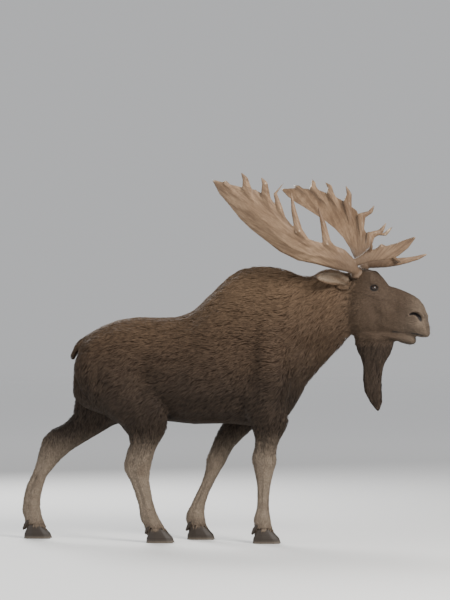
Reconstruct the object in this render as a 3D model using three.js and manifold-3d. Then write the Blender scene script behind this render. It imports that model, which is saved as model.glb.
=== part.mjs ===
// A bull moose, life size, walking, with its head turned a little to its right.
// Millimetres, +X towards the nose, +Y towards the animal's left, +Z up, floor at z = 0.
// Flesh is lofted whole from named cross sections, joined, then parted by thin cuts where a person
// would name the parts. Antlers, eyes, hooves and dewclaws are solids of their own.
import * as THREE from "three";
import { mergeVertices } from "three/addons/utils/BufferGeometryUtils.js";
import Module from "manifold-3d";

const wasm = await Module();
wasm.setup();

// ---------------------------------------------------------------- driving dimensions
const GAP = 0.3; // clearance between neighbouring solids
const HEAD_YAW = THREE.MathUtils.degToRad(-13); // the head is turned to the animal's right
const HEAD_PIVOT_X = 770; // the joint behind the skull, about which the head turns
const FORE_TRACK = 165; // half the distance between the forelegs
const HIND_TRACK = 170; // half the distance between the hind legs
const EYE_RADIUS = 21;
const EYE_AT = [312, 94, 1790]; // in the head's own frame, mirrored for the right eye
const TOE_HEIGHT = 98;
const SOLE_AT = 8; // the soles' height in the measures below; the floor is moved to it at the end
const TOE_HALF_WIDTH = 32;
const TOE_SPREAD = 36; // from the middle of the foot to the middle of a toe
const TOE_SPLAY = 0.07; // radians
const DEWCLAW_SPREAD = 33;
const DEWCLAW_AT = 104; // height above the floor
const TINE_SET = 0.2; // a tine is rooted this much nearer the skull than it leaves the palm
const TINE_ROOT = 7; // radius of a tine where it starts inside the palm
const PALM_CUP = 30; // how far an antler palm's middle bulges outwards
const BROW_CUP = 8; // the same for the smaller palm over the brow
const SIDES = { left: 1, right: -1 };

// ---------------------------------------------------------------- materials
const finish = (color, roughness) => new THREE.MeshStandardMaterial({ color, roughness, metalness: 0 });
const hide = finish(0x3b2a1e, 0.95);
const paleHide = finish(0x8a7a69, 0.95);
const antlerBone = finish(0x9a7a52, 0.6);
const horn = finish(0x1c1815, 0.45);
const eyeball = finish(0x140d08, 0.08);

// ---------------------------------------------------------------- geometry helpers
// One cross section: an egg through two opposite points, with a half width to each side.
// peak and keel over 1 pinch the first and second half, widest moves the broadest place between
// them (-1 to 1), and bow bends the whole section to a crescent.
const band = (first, last, half, shape = {}) => ({
  first: new THREE.Vector3(...first),
  last: new THREE.Vector3(...last),
  half,
  peak: 1,
  keel: 1,
  widest: 0,
  bow: 0,
  ...shape,
});

// A section of the body in the animal's side view: top and bottom as [x, z], at a distance y.
const slice = (top, low, half, shape = {}) =>
  band([top[0], shape.y ?? 0, top[1]], [low[0], shape.y ?? 0, low[1]], half, shape);

// Joins rings of points to a closed mesh, with a point at the middle of each end.
function skinned(sections, poles) {
  const sides = sections[0].length;
  const mean = (ring) => ring.reduce((sum, p) => sum.add(p), new THREE.Vector3()).divideScalar(sides);
  const points = [...sections.flat(), poles[0] ?? mean(sections[0]), poles[1] ?? mean(sections.at(-1))];
  const corner = (ring, i) => ring * sides + (i % sides);
  const end = sections.length - 1;
  const faces = [];
  for (let i = 0; i < sides; i++) {
    for (let r = 0; r < end; r++) {
      faces.push(corner(r, i), corner(r, i + 1), corner(r + 1, i + 1));
      faces.push(corner(r, i), corner(r + 1, i + 1), corner(r + 1, i));
    }
    faces.push(corner(0, i + 1), corner(0, i), points.length - 2);
    faces.push(corner(end, i), corner(end, i + 1), points.length - 1);
  }
  const geometry = new THREE.BufferGeometry().setFromPoints(points);
  geometry.setIndex(faces);
  return geometry;
}

// A loft through the sections, smooth between them. Its ends are flat, or domes as high as round says.
function loft(stations, { rings, sides, grow = 0, across = false, round = [0, 0] }) {
  const curve = (pick) => new THREE.CatmullRomCurve3(stations.map(pick));
  const firsts = curve((s) => s.first);
  const lasts = curve((s) => s.last);
  const widths = curve((s) => new THREE.Vector3(s.half, s.widest, s.bow));
  const powers = curve((s) => new THREE.Vector3(s.peak, s.keel, 0));
  const centre = (t) => firsts.getPoint(t).add(lasts.getPoint(t)).multiplyScalar(0.5);

  const sectionAt = (t, scale, push) => {
    const step = 0.01;
    const along = centre(Math.min(1, t + step)).sub(centre(Math.max(0, t - step))).normalize();
    const reach = firsts.getPoint(t).sub(lasts.getPoint(t)).multiplyScalar(0.5);
    const side = across ? along.clone().cross(reach).normalize() : new THREE.Vector3(0, 1, 0);
    const middle = centre(t).addScaledVector(along, push);
    const { x: half, y: widest, z: bow } = widths.getPoint(t);
    const { x: peak, y: keel } = powers.getPoint(t);
    reach.setLength(reach.length() + grow);
    return Array.from({ length: sides }, (_, i) => {
      const angle = (2 * Math.PI * i) / sides;
      const level = Math.sin(angle) + widest * Math.cos(angle) ** 2;
      const power = Math.sin(angle) > 0 ? peak : keel;
      const wide = Math.sign(Math.cos(angle)) * Math.abs(Math.cos(angle)) ** power * (half + grow);
      return middle
        .clone()
        .addScaledVector(reach, level * scale)
        .addScaledVector(side, wide * scale + bow * (1 - level * level));
    });
  };

  const lean = Math.PI / 6; // a dome takes two more rings, at 30 and 60 degrees
  const dome = (t, height) =>
    [1, 2].map((i) => sectionAt(t, Math.cos(i * lean), height * Math.sin(i * lean)));
  const pole = (t, height) => sectionAt(t, 0, height)[0];
  const sections = Array.from({ length: rings + 1 }, (_, i) => sectionAt(i / rings, 1, 0));
  if (round[0]) sections.unshift(...dome(0, -round[0] - grow).reverse());
  if (round[1]) sections.push(...dome(1, round[1] + grow));
  return skinned(sections, [
    round[0] ? pole(0, -round[0] - grow) : null,
    round[1] ? pole(1, round[1] + grow) : null,
  ]);
}

// A tapering round prong along a curve, from its middle points and their radii.
function prong(points, radii, { rings, sides }) {
  const path = points.map((p) => new THREE.Vector3(...p));
  const chord = path.at(-1).clone().sub(path[0]).normalize();
  const up = Math.abs(chord.z) > 0.8 ? new THREE.Vector3(1, 0, 0) : new THREE.Vector3(0, 0, 1);
  const reach = up.addScaledVector(chord, -up.dot(chord)).normalize();
  const stations = path.map((at, i) =>
    band(
      at.clone().addScaledVector(reach, radii[i]).toArray(),
      at.clone().addScaledVector(reach, -radii[i]).toArray(),
      radii[i],
    ),
  );
  return loft(stations, { rings, sides, across: true });
}

// A closed mesh as a solid, turned the right way out.
function solid(geometry) {
  const bare = geometry.index ? geometry.toNonIndexed() : geometry.clone();
  bare.deleteAttribute("normal");
  bare.deleteAttribute("uv");
  const merged = mergeVertices(bare, 1e-3);
  const corners = merged.index.array;
  const points = merged.attributes.position;
  const at = (i) => new THREE.Vector3().fromBufferAttribute(points, corners[i]);
  const triangles = Array.from({ length: corners.length / 3 }, (_, i) => 3 * i);
  const volume = triangles.reduce((sum, i) => sum + at(i).dot(at(i + 1).cross(at(i + 2))), 0);
  if (volume < 0)
    for (const i of triangles) [corners[i + 1], corners[i + 2]] = [corners[i + 2], corners[i + 1]];
  return new wasm.Manifold(
    new wasm.Mesh({ numProp: 3, vertProperties: points.array, triVerts: new Uint32Array(corners) }),
  );
}

const joined = (solids) => solids.reduce((sum, piece) => sum.add(piece));
const largest = (piece) => piece.decompose().sort((a, b) => b.volume() - a.volume())[0];

// A solid back as a geometry.
function geometryOf(piece) {
  const mesh = piece.getMesh();
  const geometry = new THREE.BufferGeometry();
  geometry.setAttribute("position", new THREE.BufferAttribute(new Float32Array(mesh.vertProperties), 3));
  geometry.setIndex([...mesh.triVerts]);
  geometry.computeVertexNormals();
  return geometry;
}

// Turns a geometry from the head's own frame to the animal's.
const headTurn = new THREE.Matrix4()
  .makeTranslation(HEAD_PIVOT_X, 0, 0)
  .multiply(new THREE.Matrix4().makeRotationZ(HEAD_YAW));
const inHead = (geometry) => geometry.applyMatrix4(headTurn);

// Everything between two distances y whose side view [x, z] falls in an outline, grown all round.
function region(outline, from, to, grow) {
  const at = outline.map(([x, z]) => new THREE.Vector2(x, z));
  const turn = THREE.ShapeUtils.isClockWise(at) ? -1 : 1;
  const corners = at.map((p, i) => {
    const before = p.clone().sub(at.at(i - 1)).normalize();
    const after = at[(i + 1) % at.length].clone().sub(p).normalize();
    const lean = new THREE.Vector2(before.y + after.y, -before.x - after.x);
    return p.clone().addScaledVector(lean, (turn * grow) / (1 + before.dot(after)));
  });
  const depth = to - from + 2 * grow;
  const block = new THREE.ExtrudeGeometry(new THREE.Shape(corners), { depth, bevelEnabled: false });
  block.rotateX(Math.PI / 2);
  block.translate(0, to + grow, 0);
  return solid(block);
}

// ---------------------------------------------------------------- trunk, neck and tail
const torsoBands = [
  slice([-1030, 1300], [-1060, 1160], 60),
  slice([-1030, 1400], [-1078, 1010], 150, { peak: 1.1 }),
  slice([-962, 1479], [-975, 930], 215, { peak: 1.1 }),
  slice([-837, 1541], [-840, 890], 255, { peak: 1.2, widest: 0.1 }),
  slice([-698, 1585], [-690, 880], 268, { peak: 1.3, widest: 0.1 }),
  slice([-540, 1588], [-540, 864], 278, { peak: 1.3 }),
  slice([-379, 1587], [-386, 848], 298, { peak: 1.3, widest: -0.1 }),
  slice([-262, 1611], [-254, 832], 316, { peak: 1.3, widest: -0.15 }),
  slice([-129, 1724], [-115, 834], 322, { peak: 1.3, keel: 1.05, widest: -0.2 }),
  slice([10, 1864], [10, 836], 312, { peak: 1.35, keel: 1.1, widest: -0.25 }),
  slice([110, 1930], [120, 828], 300, { peak: 1.38, keel: 1.15, widest: -0.25 }),
  slice([232, 1953], [250, 812], 285, { peak: 1.38, keel: 1.2, widest: -0.2 }),
  slice([330, 1948], [370, 818], 268, { peak: 1.35, keel: 1.25, widest: -0.15 }),
  slice([430, 1927], [462, 930], 240, { peak: 1.3, keel: 1.2, widest: -0.1 }),
  slice([520, 1893], [540, 1070], 205, { peak: 1.25, keel: 1.15, widest: -0.05 }),
  slice([590, 1868], [632, 1180], 178, { peak: 1.25, keel: 1.15 }),
  slice([650, 1908], [706, 1264], 158, { peak: 1.2, keel: 1.2, y: -2 }),
  slice([735, 1936], [788, 1346], 142, { peak: 1.1, keel: 1.25, y: -6 }),
  slice([850, 1905], [895, 1462], 112, { peak: 1.1, keel: 1.3, y: -24 }),
];
const tailBands = [
  slice([-985, 1462], [-1000, 1385], 46),
  slice([-1030, 1430], [-1035, 1345], 44),
  slice([-1078, 1376], [-1052, 1320], 34),
  slice([-1102, 1310], [-1072, 1286], 20),
];

// ---------------------------------------------------------------- head and bell, in the head's frame
const headBands = [
  slice([-40, 1835], [40, 1520], 92),
  slice([60, 1888], [120, 1466], 110, { keel: 1.2 }),
  slice([165, 1922], [215, 1446], 116, { peak: 0.85, keel: 1.3, widest: 0.1 }),
  slice([262, 1926], [298, 1438], 116, { peak: 0.72, keel: 1.35, widest: 0.3 }),
  slice([328, 1882], [362, 1436], 108, { peak: 0.75, keel: 1.3, widest: 0.3 }),
  slice([388, 1808], [425, 1438], 82, { peak: 0.9, keel: 1.1, widest: 0.15 }),
  slice([465, 1781], [475, 1444], 70, { peak: 0.95, keel: 0.95 }),
  slice([535, 1757], [530, 1452], 72, { peak: 0.95, keel: 0.85 }),
  slice([586, 1731], [576, 1452], 80, { peak: 0.9, keel: 0.8 }),
  slice([629, 1693], [619, 1448], 82, { peak: 0.85, keel: 0.8 }),
  slice([656, 1630], [653, 1445], 74, { peak: 0.8, keel: 0.8 }),
  slice([671, 1560], [672, 1448], 58, { peak: 0.8, keel: 0.8 }),
];
const jawBands = [
  slice([360, 1478], [372, 1432], 58),
  slice([430, 1478], [440, 1421], 54),
  slice([490, 1476], [494, 1402], 50),
  slice([545, 1470], [545, 1396], 46),
  slice([574, 1460], [572, 1402], 38),
];
const bellBands = [
  slice([456, 1480], [124, 1470], 62, { peak: 1.2, keel: 1.2 }),
  slice([444, 1410], [139, 1390], 56, { peak: 1.3, keel: 1.3 }),
  slice([422, 1345], [172, 1330], 50, { peak: 1.3, keel: 1.3 }),
  slice([362, 1272], [202, 1262], 42),
  slice([356, 1210], [204, 1200], 38),
  slice([340, 1130], [202, 1125], 34),
  slice([350, 1050], [218, 1050], 32),
  slice([348, 985], [260, 985], 26),
  slice([330, 940], [296, 940], 14),
];

function eyeBall(side, radius) {
  const ball = new THREE.SphereGeometry(radius, 8, 6);
  return solid(inHead(ball.translate(EYE_AT[0], side * EYE_AT[1], EYE_AT[2])));
}

// An ear leaves the skull outwards and back, as a leaf cupped forwards.
function earBands(side) {
  const leaf = (forwards, out, up, wide, half, bow) =>
    band(
      [forwards + 0.58 * wide, side * (out + 0.28 * wide), up + 0.76 * wide],
      [forwards - 0.58 * wide, side * (out - 0.28 * wide), up - 0.76 * wide],
      half,
      { bow: side * bow },
    );
  return [
    leaf(112, 82, 1838, 34, 26, 0),
    leaf(96, 112, 1842, 44, 20, -10),
    leaf(66, 166, 1850, 60, 14, -22),
    leaf(26, 220, 1858, 58, 12, -22),
    leaf(-14, 268, 1864, 40, 11, -14),
    leaf(-42, 304, 1868, 14, 8, -3),
  ];
}

// ---------------------------------------------------------------- legs and feet
// A leg's section: front and back as [x, z], its distance y outwards and its half width.
const shank = (front, back, y, half, shape = {}) => ({ front, back, y, half, shape });

const shoulder = (reach) => [
  shank([450 + reach, 1010], [110 + reach / 2, 985], 190, 96),
  shank([490, 1160], [96, 1140], 206, 100, { peak: 0.95 }),
  shank([470, 1330], [120, 1340], 206, 94),
  shank([400, 1540], [180, 1550], 180, 66),
];
const legBands = {
  fore_right: [
    shank([365, 88], [215, 52], FORE_TRACK, 56),
    shank([347, 130], [209, 104], FORE_TRACK, 52),
    shank([333, 182], [211, 172], FORE_TRACK, 50),
    shank([322, 250], [231, 248], FORE_TRACK, 41),
    shank([324, 340], [236, 340], FORE_TRACK, 38),
    shank([340, 454], [230, 454], FORE_TRACK, 43),
    shank([367, 560], [203, 556], FORE_TRACK, 57, { peak: 0.85 }),
    shank([374, 630], [204, 630], FORE_TRACK, 56),
    shank([388, 707], [220, 707], FORE_TRACK, 58),
    shank([424, 775], [213, 768], 168, 66),
    shank([466, 860], [183, 840], 176, 80),
    ...shoulder(0),
  ],
  fore_left: [
    shank([-130, 88], [-276, 52], FORE_TRACK, 56),
    shank([-148, 132], [-294, 104], FORE_TRACK, 52),
    shank([-162, 190], [-298, 178], FORE_TRACK, 50),
    shank([-154, 262], [-264, 250], FORE_TRACK, 41),
    shank([-124, 350], [-220, 342], FORE_TRACK, 38),
    shank([-78, 440], [-178, 430], FORE_TRACK, 43),
    shank([-31, 530], [-158, 510], FORE_TRACK, 57, { peak: 0.85 }),
    shank([8, 600], [-144, 586], FORE_TRACK, 56),
    shank([62, 680], [-120, 664], FORE_TRACK, 58),
    shank([146, 756], [-89, 744], 168, 66),
    shank([232, 840], [-49, 822], 176, 80),
    ...shoulder(-40),
  ],
  hind_right: [
    shank([-385, 88], [-537, 52], HIND_TRACK, 56),
    shank([-413, 130], [-555, 104], HIND_TRACK, 52),
    shank([-451, 184], [-581, 164], HIND_TRACK, 49),
    shank([-483, 262], [-593, 250], HIND_TRACK, 41),
    shank([-501, 350], [-619, 338], HIND_TRACK, 40),
    shank([-518, 440], [-651, 428], HIND_TRACK, 44),
    shank([-506, 540], [-703, 528], HIND_TRACK, 53, { keel: 1.4 }),
    shank([-488, 610], [-697, 590], HIND_TRACK, 53, { keel: 1.5 }),
    shank([-465, 676], [-665, 664], HIND_TRACK, 55, { keel: 1.2 }),
    shank([-431, 730], [-664, 745], 172, 66),
    shank([-393, 800], [-730, 832], 178, 84),
    shank([-373, 880], [-852, 908], 186, 102, { widest: 0.1 }),
    shank([-395, 1000], [-960, 1010], 192, 108, { widest: 0.1 }),
    shank([-470, 1150], [-1040, 1130], 190, 104),
    shank([-590, 1300], [-1035, 1260], 170, 92),
    shank([-720, 1420], [-985, 1390], 135, 74),
  ],
  hind_left: [
    shank([-1287, 88], [-1429, 52], HIND_TRACK, 56),
    shank([-1307, 130], [-1451, 104], HIND_TRACK, 52),
    shank([-1329, 190], [-1467, 176], HIND_TRACK, 49),
    shank([-1339, 262], [-1467, 262], HIND_TRACK, 42),
    shank([-1323, 356], [-1449, 366], HIND_TRACK, 40),
    shank([-1292, 450], [-1396, 474], HIND_TRACK, 44),
    shank([-1225, 530], [-1363, 572], HIND_TRACK, 52, { keel: 1.4 }),
    shank([-1169, 590], [-1347, 660], HIND_TRACK, 53, { keel: 1.5 }),
    shank([-1101, 640], [-1299, 756], HIND_TRACK, 55, { keel: 1.2 }),
    shank([-1021, 690], [-1189, 818], 172, 66),
    shank([-928, 746], [-1109, 890], 178, 84),
    shank([-796, 822], [-1102, 985], 186, 102),
    shank([-619, 890], [-1088, 1080], 192, 108),
    shank([-523, 1060], [-1078, 1180], 190, 104),
    shank([-590, 1260], [-1035, 1290], 170, 92),
    shank([-720, 1410], [-985, 1400], 135, 74),
  ],
};
// Where each foot stands, and the heights of its leg's two cuts: at the fetlock and knee or hock.
const feet = {
  fore_right: { x: 304, cuts: [205, 560] },
  fore_left: { x: -189, cuts: [205, 530] },
  hind_right: { x: -443, cuts: [205, 570] },
  hind_left: { x: -1357, cuts: [205, 615] },
};

function legLoft(name, grow) {
  const side = SIDES[name.split("_")[1]];
  const stations = legBands[name].map(({ front, back, y, half, shape }) =>
    slice(front, back, half, { ...shape, y: side * y }),
  );
  return solid(loft(stations, { rings: 18, sides: 8, grow, round: [8, 60] }));
}

// A main toe, from its flat sole up to the coronet, splayed a little from its fellow.
function toe(x, y, splay) {
  const level = (z, front, back, half) =>
    band([front, 0, z], [back, 0, z], half, { peak: 1.25, keel: 0.7, widest: -0.3 });
  const stations = [
    level(0, 102, -98, TOE_HALF_WIDTH),
    level(22, 96, -97, TOE_HALF_WIDTH + 1),
    level(50, 74, -90, TOE_HALF_WIDTH - 1),
    level(TOE_HEIGHT, 30, -66, TOE_HALF_WIDTH - 9),
  ];
  const claw = loft(stations, { rings: 2, sides: 8 });
  claw.rotateZ(splay);
  return solid(claw.translate(x, y, SOLE_AT));
}

// A dewclaw: a short blunt cone behind the fetlock, pointing down and back.
function dewclaw(x, y, z) {
  const path = [[x + 30, y, z + 34], [x + 8, y, z], [x - 10, y, z - 34]];
  return solid(prong(path, [16, 17, 9], { rings: 2, sides: 5 }));
}

// ---------------------------------------------------------------- antlers, in the head's frame
// Each antler has its own measures, as on a real animal. Points are forwards, outwards and up.
// The palm's rows run out along it: its smooth rear edge, then its front edge, which bears the
// tines, then half its thickness. A tine has its place along the palm, its tip and its radius.
const antlerShapes = {
  right: {
    palm: [
      [[160, 62, 1872], [215, 62, 1885], 33],
      [[150, 118, 1890], [196, 118, 1950], 35],
      [[126, 160, 1902], [180, 160, 2000], 34],
      [[50, 215, 1918], [140, 225, 2058], 27],
      [[-60, 275, 1952], [75, 295, 2092], 20],
      [[-175, 335, 1978], [5, 365, 2108], 16],
      [[-284, 395, 2038], [-60, 435, 2132], 15],
      [[-382, 455, 2124], [-132, 500, 2196], 14],
      [[-466, 510, 2199], [-204, 555, 2298], 13],
      [[-525, 560, 2266], [-274, 605, 2402], 12],
      [[-580, 610, 2350], [-375, 645, 2468], 11],
      [[-640, 655, 2434], [-500, 680, 2492], 9],
      [[-676, 700, 2528], [-652, 704, 2530], 6],
    ],
    tines: [
      { along: 0.38, tip: [-20, 350, 2355], radius: 31, bend: [10, 10, 0] },
      { along: 0.57, tip: [-170, 500, 2455], radius: 28, bend: [-4, 10, 0] },
      { along: 0.7, tip: [-192, 590, 2512], radius: 20, bend: [-44, 12, 10] },
      { along: 0.79, tip: [-335, 660, 2548], radius: 30, bend: [14, 8, 14] },
      { along: 0.88, tip: [-465, 705, 2580], radius: 30, bend: [14, 8, 6] },
      { along: 0.965, tip: [-574, 704, 2512], radius: 18, bend: [0, 0, 0] },
    ],
    brow: [
      [[140, 140, 1925], [185, 138, 1995], 26],
      [[250, 140, 1955], [270, 138, 2040], 20],
      [[350, 135, 1980], [355, 135, 2074], 15],
      [[462, 142, 1990], [440, 145, 2088], 13],
      [[560, 165, 2046], [540, 165, 2122], 12],
      [[640, 200, 2132], [628, 200, 2146], 5],
    ],
    browTines: [
      { along: 0.45, tip: [482, 62, 2052], radius: 19, bend: [10, -8, -12] },
      { along: 0.25, tip: [330, 236, 2120], radius: 17, bend: [10, 10, -8] },
    ],
  },
  left: {
    palm: [
      [[160, 62, 1872], [215, 62, 1885], 33],
      [[150, 118, 1895], [204, 118, 1955], 35],
      [[134, 158, 1930], [210, 158, 2010], 34],
      [[72, 206, 2018], [222, 214, 2085], 27],
      [[14, 268, 2104], [178, 290, 2165], 20],
      [[-58, 325, 2174], [104, 350, 2230], 16],
      [[-145, 385, 2240], [72, 415, 2318], 14],
      [[-250, 440, 2302], [-20, 475, 2390], 13],
      [[-355, 500, 2358], [-135, 540, 2450], 12],
      [[-445, 550, 2402], [-270, 590, 2503], 11],
      [[-520, 600, 2446], [-410, 632, 2520], 9],
      [[-592, 655, 2505], [-574, 660, 2518], 6],
    ],
    tines: [
      { along: 0.36, tip: [285, 325, 2252], radius: 29, bend: [18, 10, -12] },
      { along: 0.38, tip: [342, 300, 2226], radius: 19, bend: [30, 0, -30] },
      { along: 0.53, tip: [168, 440, 2382], radius: 29, bend: [14, 10, -10] },
      { along: 0.66, tip: [-66, 520, 2528], radius: 30, bend: [16, 10, 0] },
      { along: 0.77, tip: [-240, 590, 2556], radius: 27, bend: [14, 8, 6] },
      { along: 0.865, tip: [-355, 640, 2582], radius: 28, bend: [6, 8, 0] },
      { along: 0.94, tip: [-500, 668, 2540], radius: 20, bend: [0, 0, 0] },
    ],
    brow: [
      [[140, 140, 1925], [185, 138, 1985], 26],
      [[262, 140, 1930], [285, 138, 2000], 20],
      [[370, 140, 1936], [380, 140, 2002], 15],
      [[460, 150, 1956], [458, 150, 2003], 13],
      [[550, 175, 1982], [538, 175, 2014], 12],
      [[618, 200, 2022], [610, 200, 2034], 5],
    ],
    browTines: [
      { along: 0.42, tip: [470, 66, 1972], radius: 19, bend: [10, -8, -10] },
      { along: 0.2, tip: [345, 236, 2026], radius: 17, bend: [10, 10, -8] },
    ],
  },
};

const bowAt = (rows, i, cup) => cup * Math.min(1, Math.max(0, (i - 2) / 3), (rows.length - 1 - i) / 3);

function plate(rows, side, { rings, cup, grow = 0 }) {
  const mirrored = ([forwards, out, up]) => [forwards, side * out, up];
  const stations = rows.map(([rear, front, half], i) =>
    band(mirrored(front), mirrored(rear), half, { bow: side * bowAt(rows, i, cup), peak: 0.9, keel: 0.9 }),
  );
  return solid(inHead(loft(stations, { rings, sides: 8, grow, across: true })));
}

// A tine grows out of a plate's front edge: it starts as a point on the bowed middle of the plate,
// is thickest where it leaves the edge, and tapers to its tip.
function tine(rows, side, cup, { along, tip, radius, bend }) {
  const edge = (which, t) =>
    new THREE.CatmullRomCurve3(rows.map((row) => new THREE.Vector3(...row[which]))).getPoint(t);
  const middleOf = (t) => edge(0, t).lerp(edge(1, t), 0.5);
  const start = Math.max(0.02, along - TINE_SET);
  const across = edge(1, start).sub(edge(0, start));
  const outwards = middleOf(start + 0.01).sub(middleOf(start - 0.01)).cross(across).normalize();
  const root = middleOf(start).addScaledVector(outwards, bowAt(rows, start * (rows.length - 1), cup));
  const front = edge(1, along);
  const end = new THREE.Vector3(...tip);
  const middle = front.clone().lerp(end, 0.5).add(new THREE.Vector3(...bend));
  const path = [root, front, middle, end].map((p) => [p.x, side * p.y, p.z]);
  return solid(inHead(prong(path, [TINE_ROOT, radius * 1.15, radius * 0.72, 4], { rings: 3, sides: 5 })));
}

function antler(name) {
  const side = SIDES[name];
  const { palm, tines, brow, browTines } = antlerShapes[name];
  const main = plate(palm, side, { rings: 12, cup: PALM_CUP });
  const fork = plate(brow, side, { rings: 6, cup: BROW_CUP });
  const around = plate(palm, side, { rings: 12, cup: PALM_CUP, grow: GAP });
  return {
    palm: joined([main, ...tines.map((row) => tine(palm, side, PALM_CUP, row))]),
    brow: joined([fork, ...browTines.map((row) => tine(brow, side, BROW_CUP, row))]).subtract(around),
  };
}

// ---------------------------------------------------------------- assembly
const moose = new THREE.Group();
function add(name, piece, material) {
  const mesh = new THREE.Mesh(geometryOf(largest(piece)), material);
  mesh.name = name;
  moose.add(mesh);
}

const torsoLoft = (grow) => solid(loft(torsoBands, { rings: 20, sides: 16, grow, round: [18, 0] }));
const skullLoft = (grow) => solid(inHead(loft(headBands, { rings: 13, sides: 16, grow, round: [0, 14] })));

// The outline in the side view, as [x, z], of each part that is cut from the whole skin.
const REACH = 700; // further out than any flesh
const INNER = 40; // the legs start this far from the middle
const FLOOR = -60; // under the floor
const outlines = {
  head: [[752, 2100], [800, 1780], [868, 1420], [868, 1250], [1700, 1250], [1700, 2100]],
  neck: [[440, 2100], [535, 1500], [535, 1150], [500, 1000], [1000, 1000], [1000, 2100]],
  fore_right: [
    [100, FLOOR], [100, 700], [50, 900], [130, 1060], [300, 1120], [470, 1060], [560, 900], [560, FLOOR],
  ],
  fore_left: [
    [-420, FLOOR], [-420, 500], [-200, 700], [-70, 830], [50, 980], [130, 1060], [300, 1120], [450, 1060],
    [520, 900], [330, 760], [150, 400], [100, FLOOR],
  ],
  hind_right: [
    [-340, 830], [-400, 1000], [-540, 1240], [-740, 1370], [-980, 1330], [-1140, 1190], [-1140, 900],
    [-800, 740], [-800, FLOOR], [-300, FLOOR], [-300, 600],
  ],
  hind_left: [
    [-340, 830], [-400, 1000], [-540, 1240], [-740, 1370], [-980, 1330], [-1140, 1190], [-1520, 1000],
    [-1520, FLOOR], [-1150, FLOOR], [-1150, 480], [-800, 680],
  ],
};

const legNames = Object.keys(legBands);
const eyes = joined(Object.values(SIDES).map((side) => eyeBall(side, EYE_RADIUS + GAP)));
let flesh = joined([torsoLoft(0), skullLoft(0), ...legNames.map((name) => legLoft(name, 0))]);
flesh = flesh.subtract(eyes);

// Takes the part inside an outline out of the flesh, and leaves a thin gap round it.
function part(outline, from = -REACH, to = REACH) {
  const piece = flesh.intersect(region(outline, from, to, 0));
  flesh = flesh.subtract(region(outline, from, to, GAP));
  return piece;
}

add("head", part(outlines.head), hide);
add("neck", part(outlines.neck), hide);

for (const name of legNames) {
  const side = SIDES[name.split("_")[1]];
  const [near, far] = side > 0 ? [INNER, REACH] : [-REACH, -INNER];
  const leg = part(outlines[name], near, far);
  const [fetlock, knee] = feet[name].cuts;
  const slab = (low, high) =>
    region([[-REACH * 3, low], [-REACH * 3, high], [REACH * 3, high], [REACH * 3, low]], near, far, 0);
  add(`leg_${name}_upper`, leg.intersect(slab(knee + GAP, REACH * 2)), hide);
  add(`leg_${name}_lower`, leg.intersect(slab(fetlock + GAP, knee)), paleHide);
  const foot = leg.intersect(slab(FLOOR, fetlock));
  add(`leg_${name}_foot`, foot, paleHide);

  const clear = legLoft(name, GAP);
  for (const [which, out] of [["outer", 1], ["inner", -1]]) {
    const away = side * out;
    const track = side * (name.startsWith("fore") ? FORE_TRACK : HIND_TRACK);
    const claw = toe(feet[name].x, track + away * TOE_SPREAD, away * TOE_SPLAY);
    add(`hoof_${name}_${which}`, claw.subtract(clear), horn);
    const heel = dewclaw(feet[name].x - 92, track + away * DEWCLAW_SPREAD, DEWCLAW_AT);
    const roomy = toe(feet[name].x, track + away * TOE_SPREAD, away * TOE_SPLAY);
    add(`dewclaw_${name}_${which}`, heel.subtract(clear).subtract(roomy), horn);
  }
}
add("trunk", flesh, hide);

const headAndNeck = joined([skullLoft(GAP), torsoLoft(GAP)]);
const jawLoft = (grow) => solid(inHead(loft(jawBands, { rings: 5, sides: 8, grow, round: [8, 12] })));
add("lower_jaw", jawLoft(0).subtract(headAndNeck), hide);
const bell = solid(inHead(loft(bellBands, { rings: 7, sides: 8, round: [0, 10] })));
add("bell", bell.subtract(headAndNeck).subtract(jawLoft(GAP)), hide);
const tail = solid(loft(tailBands, { rings: 3, sides: 8, round: [0, 14] }));
add("tail", tail.subtract(torsoLoft(GAP).translate([-GAP, 0, 0])), hide);
for (const [name, side] of Object.entries(SIDES)) {
  const ear = solid(inHead(loft(earBands(side), { rings: 5, sides: 8, across: true })));
  const { palm, brow } = antler(name);
  add(`ear_${name}`, ear.subtract(headAndNeck), hide);
  add(`eye_${name}`, eyeBall(side, EYE_RADIUS), eyeball);
  add(`antler_${name}_palm`, palm.subtract(headAndNeck), antlerBone);
  add(`antler_${name}_brow`, brow.subtract(headAndNeck), antlerBone);
}

// The origin is on the floor, under the middle of the whole animal.
const box = new THREE.Box3().setFromObject(moose);
moose.position.set(-(box.min.x + box.max.x) / 2, -(box.min.y + box.max.y) / 2, -box.min.z);

export default moose;
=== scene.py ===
# %% [markdown]
# # A bull moose, life size
# The solids of the animal come in ready made: they carry the pose, the proportions and the outline
# out to the tips of the hair. This lesson gives them their looks. One seamless skin takes the
# place of the flesh solids, a coat of solid locks lies over it, and eyes, antlers and hooves are
# made as pieces of their own. Everything is in metres, the nose points to +X, the animal's left is
# +Y.

# %% Load the solids
import math

import bpy
import numpy as np
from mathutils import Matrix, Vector
from mathutils.bvhtree import BVHTree


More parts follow.
